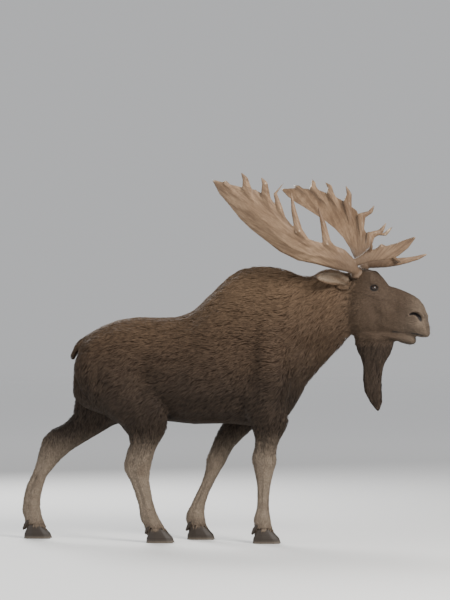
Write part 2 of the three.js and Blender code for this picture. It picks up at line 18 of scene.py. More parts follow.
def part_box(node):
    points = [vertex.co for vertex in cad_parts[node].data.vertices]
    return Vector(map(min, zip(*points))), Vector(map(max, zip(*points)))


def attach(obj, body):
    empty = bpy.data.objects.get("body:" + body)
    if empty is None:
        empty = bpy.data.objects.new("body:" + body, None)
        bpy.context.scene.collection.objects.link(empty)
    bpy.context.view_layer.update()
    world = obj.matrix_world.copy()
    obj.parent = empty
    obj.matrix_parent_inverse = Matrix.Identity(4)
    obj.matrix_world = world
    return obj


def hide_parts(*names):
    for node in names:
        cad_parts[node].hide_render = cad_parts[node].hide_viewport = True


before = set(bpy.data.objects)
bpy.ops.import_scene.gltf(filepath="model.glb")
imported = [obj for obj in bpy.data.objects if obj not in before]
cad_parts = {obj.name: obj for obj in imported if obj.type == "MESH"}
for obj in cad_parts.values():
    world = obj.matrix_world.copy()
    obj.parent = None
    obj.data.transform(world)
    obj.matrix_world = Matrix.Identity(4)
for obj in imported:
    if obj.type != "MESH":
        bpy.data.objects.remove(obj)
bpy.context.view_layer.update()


# %% [markdown]
# ## Camera, light and floor
# The animal is seen from its right side, from a little ahead, at the height of its shoulder and
# from far off, so that the lens flattens it. A long lens on a distant camera does that. The light
# is that of a photo studio: one wide soft lamp above and in front, a weaker one to fill the
# shadows, and a pale even surround, because hair this dark only shows its form in broad soft
# light.

# %% Camera
AIM = Vector((0.0122, -0.0905, 1.698))
AHEAD = math.radians(5)
DISTANCE = 22.0
FRAME_HEIGHT = 4.224  # metres seen from the top to the bottom of the frame, at the animal

bpy.ops.object.select_all(action="DESELECT")
spot = AIM + DISTANCE * Vector((math.sin(AHEAD), -math.cos(AHEAD), 0))
bpy.ops.object.camera_add(location=spot, rotation=(math.radians(90), 0, AHEAD))
camera = bpy.context.active_object
camera.data.sensor_fit = "VERTICAL"
camera.data.sensor_height = 36
camera.data.lens = 36 * DISTANCE / FRAME_HEIGHT
camera.data.clip_end = 200
bpy.context.scene.camera = camera
print("camera lens", round(camera.data.lens, 1), "mm")


# %% Lamps and surround
def soft_lamp(name, place, target, size, power, colour=(1, 1, 1)):
    direction = Vector(target) - Vector(place)
    turn = direction.to_track_quat("-Z", "Y").to_euler()
    bpy.ops.object.light_add(type="AREA", location=place, rotation=turn)
    lamp = bpy.context.active_object
    lamp.name = name
    lamp.data.size = size
    lamp.data.energy = power
    lamp.data.color = colour


soft_lamp("key_lamp", (5.0, -6.0, 5.5), (0.1, 0, 1.2), 3.0, 1450, (1.0, 0.97, 0.93))
soft_lamp("fill_lamp", (-6.0, -4.5, 2.4), (-0.3, 0, 1.0), 4.5, 240, (0.93, 0.96, 1.0))
soft_lamp("back_lamp", (-3.0, 5.5, 5.0), (0.2, 0, 1.6), 3.0, 750)
world = bpy.data.worlds.new("studio")
world.use_nodes = True
surround = world.node_tree.nodes["Background"].inputs
surround["Color"].default_value = (0.95, 0.96, 0.98, 1)
surround["Strength"].default_value = 0.56
bpy.context.scene.world = world

# %% [markdown]
# ## Writing materials as sums
# A finish is a network of small nodes, and most of those nodes only do sums. Written as sums they
# are much easier to read, so `Number` wraps the output of a node and lets Python's own signs add
# the Math nodes. `Finish` starts a material and adds any other kind of node.


# %% Number and Finish
class Number:
    """The output of a node, which can be used in sums."""

    def __init__(self, finish, socket):
        self.finish = finish
        self.socket = socket

    def sum(self, operation, first, second):
        return self.finish.number("ShaderNodeMath", {"operation": operation}, {0: first, 1: second})

    def __add__(self, other): return self.sum("ADD", self, other)
    def __radd__(self, other): return self.sum("ADD", other, self)
    def __sub__(self, other): return self.sum("SUBTRACT", self, other)
    def __rsub__(self, other): return self.sum("SUBTRACT", other, self)
    def __mul__(self, other): return self.sum("MULTIPLY", self, other)
    def __rmul__(self, other): return self.sum("MULTIPLY", other, self)
    def over(self, other): return self.sum("MAXIMUM", self, other)

    def step(self, low, high):
        """0 below low and 1 above high, with a soft rise between them."""
        node = self.finish.node("ShaderNodeMapRange", {"interpolation_type": "SMOOTHSTEP"},
                                {"Value": self, "From Min": low, "From Max": high})
        return Number(self.finish, node.outputs["Result"])


class Finish:
    """A new material on one Principled shader."""

    def __init__(self, name, **constants):
        self.material = bpy.data.materials.new(name)
        self.material.use_nodes = True
        self.tree = self.material.node_tree
        self.shader = self.tree.nodes["Principled BSDF"]
        for socket, value in constants.items():
            self.feed(self.shader.inputs[socket.replace("_", " ")], value)
        self.where = self.node("ShaderNodeTexCoord").outputs["Object"]

    def feed(self, slot, value):
        if isinstance(value, Number):
            value = value.socket
        if isinstance(value, bpy.types.NodeSocket):
            self.tree.links.new(value, slot)
        elif hasattr(slot.default_value, "__len__") and len(slot.default_value) == 4:
            slot.default_value = (*value[:3], 1)
        else:
            slot.default_value = value

    def node(self, kind, settings={}, inputs={}):
        node = self.tree.nodes.new(kind)
        for name, value in settings.items():
            setattr(node, name, value)
        for name, value in inputs.items():
            self.feed(node.inputs[name], value)
        return node

    def number(self, kind, settings={}, inputs={}, output=0):
        return Number(self, self.node(kind, settings, inputs).outputs[output])

    def mix(self, factor, first, second, how="MIX"):
        node = self.node("ShaderNodeMix", {"data_type": "RGBA", "blend_type": how})
        for slot, value in ((0, factor), (6, first), (7, second)):
            self.feed(node.inputs[slot], value)
        return node.outputs[2]

    def layers(self, colour, *layers):
        """A colour with others over it in turn: how far each covers it, and which colour it is."""
        for factor, over, *how in layers:
            colour = self.mix(factor, colour, over, *how)
        return colour

    def noise(self, scale, detail=3.0, rough=0.5, where=None):
        return self.number("ShaderNodeTexNoise", {}, {
            "Vector": where or self.where, "Scale": scale, "Detail": detail, "Roughness": rough})

    def together(self, **parts):
        """A vector from numbers named X, Y and Z."""
        return self.node("ShaderNodeCombineXYZ", {}, parts).outputs[0]

    def stretched(self, scale, turn=(0, 0, 0), where=None):
        return self.node("ShaderNodeMapping", {}, {
            "Vector": where or self.where, "Scale": scale, "Rotation": turn}).outputs[0]

    def axis(self, name, where=None):
        parts = self.node("ShaderNodeSeparateXYZ", {}, {0: where or self.where})
        return Number(self, parts.outputs[name])

    def vector(self, operation, first, second=None, output=0):
        inputs = {0: first} if second is None else {0: first, 1: second}
        return self.node("ShaderNodeVectorMath", {"operation": operation}, inputs).outputs[output]

    def length(self, vector):
        return Number(self, self.vector("LENGTH", vector, output="Value"))

    def near(self, point, radii):
        """0 at a point and 1 on an ellipsoid around it."""
        moved = self.vector("SUBTRACT", self.where, point)
        return self.length(self.vector("DIVIDE", moved, radii))

    def named(self, attribute):
        return self.number("ShaderNodeAttribute", {"attribute_name": attribute}, {}, "Fac")

    def bump(self, height, depth, strength=1.0):
        node = self.node("ShaderNodeBump", {}, {
            "Height": height, "Distance": depth, "Strength": strength})
        self.feed(self.shader.inputs["Normal"], node.outputs[0])

    def colour(self, *layers): self.feed(self.shader.inputs["Base Color"], self.layers(*layers))
    def roughness(self, value): self.feed(self.shader.inputs["Roughness"], value)


# %% [markdown]
# ## Finding one's way about the animal
# Shapes, hair and markings all need to know where they are: on the head, on a leg, how far down
# the neck. The body's own directions are those of the model, but the head is turned to its right.
# Its directions are found from the two eyes: the line through them points to its left, and level
# with that lies its nose. Distances in the head's frame count from a point under the back of the
# skull.

# %% The head's frame
def centre(node):
    low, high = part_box(node)
    return np.array((low + high) / 2)


SIDES = ((1, "left"), (-1, "right"))
LEFT_EYE, RIGHT_EYE = centre("eye_left"), centre("eye_right")
EYE_FORWARD, EYE_UP, EYE_RADIUS = 0.312, 1.790, 0.021
out_axis = (LEFT_EYE - RIGHT_EYE) / np.linalg.norm(LEFT_EYE - RIGHT_EYE)
up_axis = np.array((0.0, 0.0, 1.0))
nose_axis = np.cross(out_axis, up_axis)
HEAD_AXES = np.array((nose_axis, out_axis, up_axis))
HEAD_ORIGIN = (LEFT_EYE + RIGHT_EYE) / 2 - EYE_FORWARD * nose_axis - EYE_UP * up_axis
HEAD_TURN = math.atan2(nose_axis[1], nose_axis[0])
MIDDLE = centre("trunk")[1]
print("head turned by", round(math.degrees(HEAD_TURN), 1), "degrees")


def in_head(points): return (points - HEAD_ORIGIN) @ HEAD_AXES.T
def from_head(points): return np.asarray(points) @ HEAD_AXES + HEAD_ORIGIN
def one_sided(points): return np.stack((points[:, 0], abs(points[:, 1]), points[:, 2]), 1)
def in_half_head(points): return one_sided(in_head(points))
def side_of(head): return np.where(head[:, [1]] < 0, -1, 1)


EYE_OUT = abs(in_head(LEFT_EYE)[1])
EYE_PLACE = (EYE_FORWARD, EYE_OUT, EYE_UP)


def from_eye(head): return np.linalg.norm(head - EYE_PLACE, axis=1)


def rise(values, low, high):
    """0 below low and 1 above high, with a soft rise between; low may be over high."""
    t = np.clip((values - low) / (high - low), 0, 1)
    return t * t * (3 - 2 * t)


def roughly_in(node, points, reach):
    """1 inside a solid's box and 0 further from it than reach."""
    low, high = (np.array(corner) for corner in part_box(node))
    away = np.maximum(np.maximum(low - points, points - high), 0)
    return rise(np.linalg.norm(away, axis=1), reach, 0)


def from_line(places, line):
    """The distance from a broken line given in millimetres, and how far along it is nearest."""
    gap, share = np.full(len(places), np.inf), np.zeros(len(places))
    line = np.array(line) / 1000
    for i, (a, b) in enumerate(zip(line, line[1:])):
        t = np.clip(((places - a) @ (b - a)) / ((b - a) @ (b - a)), 0, 1)
        here = np.linalg.norm(places - (a + t[:, None] * (b - a)), axis=1)
        share = np.where(here < gap, (i + t) / (len(line) - 1), share)
        gap = np.minimum(gap, here)
    return gap, share


def groove(gap, width):
    return np.exp(-((gap / width) ** 2))


# %% The regions of the body
EAR_LINE = [(104, 100, 1840), (66, 166, 1850), (26, 220, 1858), (-14, 268, 1864), (-42, 304, 1868)]


def regions(points):
    """How far each point belongs to each region, from 0 to 1."""
    head = in_half_head(points)
    f, out, up = head.T
    bell = rise(up, 1.44, 1.39) * rise(f, 0.10, 0.14) * rise(out, 0.13, 0.09) * rise(f, 0.48, 0.44)
    ear = rise(from_line(head, EAR_LINE)[0], 0.074, 0.062) * rise(out, 0.080, 0.096)
    face = rise(f, 0.05, 0.28) * (1 - bell) * (1 - ear)
    tail = roughly_in("tail", points, 0.015) * rise(points[:, 0], -1.0, -1.02)
    shin = rise(points[:, 2], 0.66, 0.5) * (1 - bell)
    leg = rise(points[:, 2], 0.98, 0.74) * (1 - bell)
    hump = rise(points[:, 2], 1.45, 1.80) * rise(points[:, 0], -0.35, 0.1) * (1 - face) * (1 - ear)
    neck = rise(points[:, 0], 0.38, 0.62) * rise(points[:, 2], 0.95, 1.1) * (1 - face) * (1 - ear)
    return {"bell": bell, "ear": ear, "face": face, "tail": tail, "shin": shin, "leg": leg,
            "hump": hump, "neck": neck * (1 - bell)}


# %% [markdown]
# ## Small tools for meshes
# Selecting a piece, applying a modifier and reading all its points at once are done again and
# again. NumPy moves a hundred thousand points in one line, which a loop over them could not do in
# time.


# %% Mesh helpers
def alone(piece):
    bpy.ops.object.select_all(action="DESELECT")
    piece.select_set(True)
    bpy.context.view_layer.objects.active = piece


def apply(piece, kind, **settings):
    alone(piece)
    modifier = piece.modifiers.new(kind.lower(), kind)
    for name, value in settings.items():
        setattr(modifier, name, value)
    bpy.ops.object.modifier_apply(modifier=modifier.name)


def edit(piece, *steps):
    alone(piece)
    bpy.ops.object.mode_set(mode="EDIT")
    for step in steps:
        step()
    bpy.ops.object.mode_set(mode="OBJECT")


def read(items, name, width=1, kind=np.float32):
    """One property of all the items, as rows of numbers."""
    flat = np.empty(width * len(items), kind)
    items.foreach_get(name, flat)
    return flat.reshape(-1, width) if width > 1 else flat


def write(items, name, values, kind=np.float32):
    items.foreach_set(name, values.astype(kind).ravel())


def points_of(piece): return read(piece.data.vertices, "co", 3).astype(float)
def normals_of(piece): return read(piece.data.vertex_normals, "vector", 3).astype(float)


def move_points(piece, points):
    write(piece.data.vertices, "co", points)
    piece.data.update()


def note(piece, name, values):
    """Keeps one number for each point on the piece, for its material."""
    write(piece.data.attributes.new(name, "FLOAT", "POINT").data, "value", values)


def triangles_in(piece):
    return sum(len(face.vertices) - 2 for face in piece.data.polygons)


def thin(piece, wanted, **settings):
    """Takes triangles away until about the wanted number is left."""
    apply(piece, "DECIMATE", ratio=wanted / triangles_in(piece), **settings)


def smooth(piece, rounds, group=""):
    apply(piece, "SMOOTH", factor=0.5, iterations=rounds, vertex_group=group)


def shade_smooth(mesh):
    write(mesh.polygons, "use_smooth", np.ones(len(mesh.polygons)), bool)


def copy_of(names, title, voxel):
    """One new closed piece from copies of some solids, which are merged where they overlap."""
    copies = []
    for name in names:
        bpy.ops.object.select_all(action="DESELECT")
        copy = bpy.data.objects.new(title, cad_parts[name].data.copy())
        bpy.context.scene.collection.objects.link(copy)
        copies.append(copy)
    bpy.ops.object.select_all(action="DESELECT")
    for copy in copies:
        copy.select_set(True)
    bpy.context.view_layer.objects.active = copies[0]
    if len(copies) > 1:
        bpy.ops.object.join()
    piece = bpy.context.view_layer.objects.active
    piece.name = title
    piece.data.materials.clear()
    edit(piece,
         lambda: bpy.ops.mesh.select_all(action="SELECT"),
         lambda: bpy.ops.mesh.remove_doubles(threshold=1e-5))
    apply(piece, "REMESH", mode="VOXEL", voxel_size=voxel)
    return piece


def weigh(piece, title, weights):
    """A vertex group from an array of weights, in sixteen steps."""
    group = piece.vertex_groups.get(title) or piece.vertex_groups.new(name=title)
    steps = np.rint(np.clip(weights, 0, 1) * 16).astype(int)
    for step in range(17):
        which = np.flatnonzero(steps == step)
        group.add(which.tolist(), step / 16, "REPLACE")
    return group.name


def soften(piece, *passes):
    """Smooths a piece without shrinking it: what was smoothed away is smoothed and put back."""
    rough = points_of(piece)
    for settings in passes:
        smooth(piece, *settings)
    soft = points_of(piece)
    move_points(piece, rough - soft)
    for settings in passes:
        smooth(piece, *settings)
    move_points(piece, soft + points_of(piece))


def waves(points, size, seed, count=7):
    """A smooth random number for each point, about -1 to 1, that changes over a given size."""
    chance = np.random.default_rng(seed)
    ways = chance.normal(size=(count, 3))
    ways *= (2 * math.pi / size) * (0.6 + 0.8 * chance.random((count, 1)))
    ways /= np.linalg.norm(chance.normal(size=(count, 3)), axis=1, keepdims=True)
    return np.sin(points @ ways.T + chance.random(count) * 6.3).sum(1) / math.sqrt(count)


# %% [markdown]
# ## The skin
# A hide has no seams, but the flesh solids were parted into head, neck, trunk and legs. Copies of
# them are joined and remeshed into one closed surface, then smoothed: a lot on the broad trunk,
# where flat facets were far apart, and only a little on the thin legs and the head, which would
# shrink.

# %% One closed surface
FLESH = [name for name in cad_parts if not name.startswith(("antler", "hoof", "dewclaw"))]
SKIN_VOXEL = 0.005

skin = copy_of(FLESH, "skin", SKIN_VOXEL)
area = regions(points_of(skin))
broad = 1 - np.max([area[name] for name in ("bell", "ear", "face", "tail", "shin")], axis=0)
broad *= 1 - 0.75 * area["leg"]
some = 0.6 * area["face"] + area["shin"] + area["bell"]
soften(skin, (14,), (160, weigh(skin, "broad", broad)), (22, weigh(skin, "some", some)))
print("skin remeshed to", len(skin.data.vertices), "points")

# %% [markdown]
# The solids reach to the tips of the hair, so the skin lies inside them by the depth of the coat.
# That depth is the hair's length seen end on: a few millimetres on face and shins, three
# centimetres on the mane, and less along the back, where hair lies flatter than on the sides.
# Moving each point inwards along its normal gives that, a little at a time, so that nothing folds.


# %% The depth of the coat
def coat_depth(area, normals):
    depth = np.full(len(area["face"]), 0.021)
    for name, value in (("hump", 0.030), ("neck", 0.028), ("leg", 0.010), ("shin", 0.004),
                        ("face", 0.003), ("bell", 0.012), ("tail", 0.012), ("ear", 0.002)):
        depth += (value - depth) * area[name]
    return depth * (1 - 0.45 * rise(normals[:, 2], 0.3, 0.9))


for share in (0.3, 0.3, 0.25):
    where, normals = points_of(skin), normals_of(skin)
    move_points(skin, where - normals * (share * coat_depth(regions(where), normals))[:, None])
    smooth(skin, 5, "broad")
smooth(skin, 8, "some")

# %% [markdown]
# ## Modelling the muscles and the head
# A sculptor now raises muscles and presses in hollows with a soft brush. Each brush here is an
# ellipsoid: the skin near its centre moves out along its normal, or in where the height is
# negative, and the push dies away towards the rim. Body brushes are given from the middle plane
# and used on both sides. Head brushes are given in the head's frame: forwards, out and up, in
# millimetres. Folds are grooves along a line. Legs are all posed differently, so their brushes are
# placed in each leg's own section: -1 is its back and 1 its front, 0 its middle and 1 either side.


# %% The brush
def brush(places, strokes):
    """The push at each place from strokes of (centre, radii, height), all in millimetres."""
    push = np.zeros(len(places))
    for middle, radii, height in strokes:
        away = (one_sided(places) - np.array(middle) / 1000) / (np.array(radii) / 1000)
        push += height / 1000 * np.exp(-(away ** 2).sum(1))
    return push


BODY_STROKES = [
    ((300, 250, 1330), (60, 90, 240), 22),     # ridge of the shoulder blade
    ((200, 280, 1180), (80, 90, 190), -14),    # hollow behind the shoulder blade
    ((395, 270, 1120), (80, 90, 110), 17),     # point of the shoulder
    ((235, 260, 950), (90, 80, 100), 16),      # elbow and the muscle above it
    ((90, 290, 1020), (70, 90, 150), -16),     # hollow behind the elbow
    ((-560, 270, 1200), (90, 90, 190), -26),   # hollow of the flank
    ((-640, 240, 1440), (80, 80, 60), 18),     # point of the hip
    ((-880, 190, 1380), (90, 80, 80), -14),    # hollow below the croup
    ((-1010, 160, 1240), (60, 70, 70), 14),    # pin bone
    ((-760, 280, 1180), (130, 80, 150), 15),   # thigh
    ((-470, 270, 920), (80, 80, 80), 14),      # stifle
    ((-870, 250, 1030), (50, 60, 150), -10),   # furrow down the back of the thigh
    ((560, 140, 1480), (260, 60, 60), 16),     # muscle along the neck
    ((600, 150, 1360), (240, 60, 45), -12),    # furrow under it
    ((480, 0, 960), (90, 60, 120), 12),        # brisket
]
FOLDS = [
    ([(-660, 300, 1080), (-570, 300, 980), (-520, 270, 880)], 24, 9),    # fold of the flank
    ([(120, 240, 1020), (150, 240, 920), (200, 230, 850)], 20, 9),       # behind the elbow
    ([(480, 200, 1330), (455, 240, 1200), (450, 230, 1070)], 26, 9),     # between neck and shoulder
]
HEAD_STROKES = [
    ((330, 100, 1828), (46, 26, 14), 11),      # brow over the eye
    ((352, 92, 1758), (34, 22, 12), -8),       # gland slit in front of the eye
    ((300, 110, 1742), (60, 26, 14), 7),       # cheek bone
    ((400, 78, 1716), (90, 24, 13), 8),        # cheek bone running forwards
    ((215, 120, 1620), (80, 40, 100), 13),     # chewing muscle
    ((345, 90, 1610), (60, 30, 70), -12),      # hollow ahead of it
    ((430, 60, 1655), (70, 30, 36), -9),       # hollow of the side of the nose
    ((300, 0, 1900), (60, 40, 40), -6),        # dip between the brows
    ((470, 0, 1785), (90, 30, 30), 5),         # bridge of the nose
    ((600, 66, 1512), (56, 30, 26), 9),        # swell of the upper lip
    ((655, 40, 1475), (26, 40, 22), 5),        # rim of the upper lip
    ((530, 66, 1650), (60, 26, 26), 5),        # above and behind the nostril
    ((655, 0, 1590), (30, 12, 60), -5),        # groove down the middle of the nose
    ((560, 0, 1410), (34, 40, 22), 5),         # chin
    ((130, 108, 1730), (40, 34, 60), -9),      # hollow behind the jaw, below the ear
    ((186, 66, 1880), (38, 32, 30), 10),       # stump of bone that bears the antler
]
#              section, side, height; radii of the same; push
LEG_STROKES = [
    (1, (-0.35, 0.9, 330), (0.28, 0.6, 130), -9),    # groove between cannon bone and tendons
    (1, (0.90, 0.2, 560), (0.45, 0.7, 42), 6),       # front of the knee
    (1, (-0.90, 0.2, 585), (0.40, 0.6, 30), 8),      # bone at the back of the knee
    (1, (0.20, 0.9, 545), (0.60, 0.5, 36), 8),       # sides of the knee
    (1, (0.20, 0.9, 690), (0.35, 0.6, 70), 9),       # forearm
    (1, (-0.45, 0.9, 690), (0.20, 0.6, 80), -9),     # furrow of the forearm
    (-1, (-0.35, 0.9, 330), (0.28, 0.6, 130), -9),
    (-1, (-0.95, 0.2, 610), (0.30, 0.7, 40), 8),     # point of the hock
    (-1, (-0.30, 0.9, 715), (0.28, 0.6, 80), -19),   # hollow before the Achilles tendon
    (-1, (0.30, 0.9, 575), (0.40, 0.5, 45), 9),      # bones of the hock
    (0, (0.00, 0.9, 178), (0.60, 0.5, 30), 8),       # fetlock
    (0, (-0.90, 0.2, 168), (0.40, 0.6, 26), 5),
    (0, (-0.80, 0.0, 118), (0.40, 0.8, 22), -7),     # hollow of the pastern
    (0, (0.95, 0.0, 90), (0.40, 0.22, 50), -10),     # cleft between the toes
]
# how high the knee or hock is, for each side and for fore (1) and hind (-1), and in the strokes
JOINT_LEVELS = {(1, 1): 0.545, (-1, 1): 0.565, (1, -1): 0.665, (-1, -1): 0.585}
STROKE_JOINT = 560
LEG_TOP = 0.84


def leg_push(points):
    """The push on the legs: for each leg, its strokes in its own section."""
    push = np.zeros(len(points))
    x, y, z = points[:, 0], points[:, 1] - MIDDLE, points[:, 2]
    levels = np.arange(0.09, 0.83, 0.02)
    for (side, fore), joint in JOINT_LEVELS.items():
        split = -0.6 if side > 0 else -0.1
        mine = np.flatnonzero((y * side > 0) & ((x - split) * fore > 0) & (z < LEG_TOP))
        rows = []
        for level in levels:
            ring = mine[abs(z[mine] - level) < 0.012]
            rows.append((x[ring].min(), x[ring].max(), y[ring].min(), y[ring].max()))
        ends = [np.interp(z[mine], levels, column) for column in np.array(rows).T]
        along = (2 * x[mine] - ends[0] - ends[1]) / (ends[1] - ends[0])
        across = abs(2 * y[mine] - ends[2] - ends[3]) / (ends[3] - ends[2])
        spots = np.stack((along, across, z[mine] * STROKE_JOINT / joint), 1)
        for kind, middle, radii, height in LEG_STROKES:
            if kind in (0, fore):
                push[mine] += height / 1000 * np.exp(-(((spots - middle) / radii) ** 2).sum(1))
    return push * rise(z, LEG_TOP, 0.76)


BODY_ORIGIN = (0.0152, MIDDLE, -0.008)  # what the body's strokes and folds count from

where = points_of(skin)
head = in_head(where)
body_places = one_sided(where - BODY_ORIGIN)
body_push = brush(body_places, BODY_STROKES)
for line, width, depth in FOLDS:
    body_push -= depth / 1000 * groove(from_line(body_places, line)[0], width / 1000)
push = body_push * (1 - regions(where)["face"]) + brush(head, HEAD_STROKES) + leg_push(where)
move_points(skin, where + normals_of(skin) * push[:, None])
print("pushed by", round(1000 * push.min(), 1), "to", round(1000 * push.max(), 1), "mm")

# %% [markdown]
# The ears are cups, so their front faces are hollowed out. A point's place on an ear is its
# distance from the ear's middle line across the leaf, and its push is deepest on that line.

# %% Hollowing the ears
EAR_ACROSS, EAR_FACE = np.array((0.58, 0.28, 0.76)), np.array((0.58, 0.51, -0.63))
EAR_HALF_WIDTHS = (0.040, 0.060, 0.058, 0.040, 0.014)
EAR_DEPTH = 0.018


def mirrored_by(head):
    """Factors that swap left and right for points on the right of the head."""
    side = side_of(head)
    return np.hstack((0 * side + 1, side, 0 * side + 1))


def ear_front(points, normals):
    """1 on the front faces of the ears and 0 elsewhere."""
    facing = (normals @ HEAD_AXES.T * mirrored_by(in_head(points))) @ EAR_FACE
    return regions(points)["ear"] * rise(facing, 0.0, 0.35)


def on_ear(points):
    """How far along the ear each point is, and its place across the leaf, -1 to 1."""
    head = in_half_head(points)
    share = from_line(head, EAR_LINE)[1]
    quarters = np.linspace(0, 1, 5)
    columns = [np.interp(share, quarters, column) for column in np.array(EAR_LINE).T]
    away = head - np.array(columns).T / 1000
    return share, (away @ EAR_ACROSS) / np.interp(share, quarters, EAR_HALF_WIDTHS)


def inner_ear(points, normals):
    """How pale the hair in the cup is: it darkens at the rim, and painted shade darkens it deep in
    the base.
    """
    share, across = on_ear(points)
    rim = rise(abs(across), 0.55, 0.85)
    # painted shade deep in the base of the ear cup, taken off its paleness
    hollow_shade = groove(across, 0.5) * rise(share, 0.55, 0.1)
    return ear_front(points, normals) * (1 - rim) * (1 - 0.85 * hollow_shade) * rise(share, 1.0, 0.85)


where = points_of(skin)
share, across = on_ear(where)
depth = EAR_DEPTH * np.clip(1 - across ** 2, 0, 1) * rise(share, 0.0, 0.2) * rise(share, 1.0, 0.7)
depth *= ear_front(where, normals_of(skin))
inwards = -mirrored_by(in_head(where)) * EAR_FACE
move_points(skin, where + (inwards * depth[:, None]) @ HEAD_AXES)

# %% [markdown]
# Nostrils, lips and lids need finer faces than the rest, so the faces there are subdivided before
# they are shaped. The nostril of this animal is a long slanting comma, low on the side of the
# great muzzle. The mouth is a groove that runs back from under the overhanging lip.


# %% Finer faces where they are needed
def finer(piece, wanted):
    """Halves the faces whose points are all wanted."""
    mesh = piece.data
    corners = read(mesh.loops, "vertex_index", kind=np.int32)
    starts = read(mesh.polygons, "loop_start", kind=np.int32)
    edit(piece,
         lambda: bpy.ops.mesh.select_mode(type="FACE"),
         lambda: bpy.ops.mesh.select_all(action="DESELECT"))
    write(mesh.polygons, "select", np.logical_and.reduceat(wanted[corners], starts), bool)
    edit(piece, lambda: bpy.ops.mesh.subdivide(number_cuts=1))


head = in_half_head(points_of(skin))
muzzle = (head[:, 0] > 0.40) & (head[:, 2] > 1.36)
around_eye = (abs(head - EYE_PLACE) < (0.06, 1, 0.05)).all(1) & (head[:, 1] > 0.05)
finer(skin, muzzle | around_eye)
finer(skin, from_eye(in_half_head(points_of(skin))) < 0.042)
print("skin has", len(skin.data.polygons), "faces")


# %% Nostrils and mouth
NOSTRIL = [(642, 62, 1548), (640, 69, 1568), (632, 73, 1588),
           (614, 76, 1604), (590, 76, 1609), (566, 73, 1602)]
WING = [(655, 56, 1592), (640, 66, 1616), (608, 75, 1630), (574, 76, 1626), (550, 74, 1606)]
MOUTH = [(662, 20, 1462), (640, 44, 1464), (600, 52, 1468),
         (550, 58, 1472), (490, 56, 1476), (436, 56, 1484)]
LIP = [(660, 40, 1474), (610, 62, 1478), (550, 68, 1486), (480, 68, 1492)]
SLIT_DEPTH, MOUTH_DEPTH, WING_HEIGHT, LIP_HEIGHT = 0.032, 0.013, 0.007, 0.005

where = points_of(skin)
head = in_head(where)
mirror = one_sided(head)
gap, share = from_line(mirror, NOSTRIL)
slit = groove(gap, 0.007 + 0.011 * (1 - share)) * np.sin(np.pi * (0.2 + 0.65 * share))
side = np.sign(head[:, [1]])
inwards = np.hstack((0 * side - 0.45, -side * 0.85, 0 * side + 0.25)) @ HEAD_AXES
mouth_gap, mouth_share = from_line(mirror, MOUTH)
push = WING_HEIGHT * groove(from_line(mirror, WING)[0], 0.012)
push += LIP_HEIGHT * groove(from_line(mirror, LIP)[0], 0.012)
push -= MOUTH_DEPTH * groove(mouth_gap, 0.0065) * rise(mouth_share, 1, 0.8)
muzzle = rise(head[:, 0], 0.5, 0.6)
push += 0.0008 * waves(head, 0.018, 4) * muzzle
wrinkles = np.sin(head[:, 2] * 520 + 3 * waves(head, 0.06, 5))
push += 0.0009 * wrinkles * muzzle * rise(head[:, 2], 1.53, 1.46)
move_points(skin, where + normals_of(skin) * push[:, None] + SLIT_DEPTH * slit[:, None] * inwards)


# %% [markdown]
# ## Eyes and lids
# Each eye is a ball a good four centimetres across, with a clear bulge in front. It stands in its
# socket, and the lids are skin drawn over it: round the ball, skin outside an almond-shaped
# opening is lifted just clear of the ball, and skin inside the opening is tucked behind it.


# %% Lids drawn over the balls
CORNER = 62   # degrees from the middle of the opening to its corners
DROOP = 0.10  # the opening slants down towards the nose


def lid_edges(h):
    """How many degrees the upper lid's edge lies above and the lower lid's below the middle."""
    reach = np.clip(1 - (h / CORNER) ** 2, 0, 1)
    return 31 * reach ** 0.8, 24 * reach ** 0.9


def lid_gap(h, v):
    """How far a direction on the ball, in degrees, lies outside the opening between the lids."""
    droop = v + DROOP * h
    top, bottom = lid_edges(h)
    return np.where(abs(h) > CORNER, np.hypot(abs(h) - CORNER, droop) + 0.01,
                    np.maximum(droop - top, -droop - bottom))


def eye_frame(side):
    """The centre of an eye and the ways it faces, towards the nose and upwards."""
    facing = nose_axis * 0.38 + out_axis * side * 0.92 + up_axis * 0.02
    facing /= np.linalg.norm(facing)
    ahead = nose_axis - facing * (nose_axis @ facing)
    ahead /= np.linalg.norm(ahead)
    ball = from_head((EYE_FORWARD, side * EYE_OUT, EYE_UP))
    return ball, facing, ahead, np.cross(ahead, facing) * side


for side in (1, -1):
    where = points_of(skin)
    ball, facing, ahead, above = eye_frame(side)
    offset = where - ball
    reach = np.linalg.norm(offset, axis=1)
    close = (reach < 0.050) & (offset @ facing > -0.006)
    spot = offset[close]
    h = np.degrees(np.arctan2(spot @ ahead, spot @ facing))
    v = np.degrees(np.arctan2(spot @ above, np.hypot(spot @ facing, spot @ ahead)))
    gap = lid_gap(h, v)
    upper = rise(v, -5, 10)
    lid = EYE_RADIUS + 0.0022 + 0.0022 * groove(gap - 8, 5) - 0.0020 * groove(gap - 19, 4)
    lid += upper * (0.0022 * groove(gap - 29, 6) - 0.0014 * groove(gap - 39, 4))
    far = np.maximum(reach[close], EYE_RADIUS + 0.0015)
    blend = rise(gap, 16, 56)
    wanted = np.where(gap > 0, lid * (1 - blend) + far * blend, EYE_RADIUS - 0.004)
    edge = 1 - rise(reach[close], 0.040, 0.050)
    new_reach = wanted * edge + reach[close] * (1 - edge)
    where[close] = ball + spot / reach[close][:, None] * new_reach[:, None]
    move_points(skin, where)

# %% Fewer faces where they are not needed
SKIN_TRIANGLES = 178000

where = points_of(skin)
area = regions(where)
head = in_half_head(where)
keep = 0.2 * area["face"] + 0.35 * rise(head[:, 0], 0.5, 0.6) * area["face"] + 0.7 * area["ear"]
keep += rise(from_eye(head), 0.06, 0.035)
thin(skin, SKIN_TRIANGLES, vertex_group=weigh(skin, "keep", keep), invert_vertex_group=True)
skin.vertex_groups.clear()
shade_smooth(skin.data)
print("skin thinned to", triangles_in(skin), "triangles")


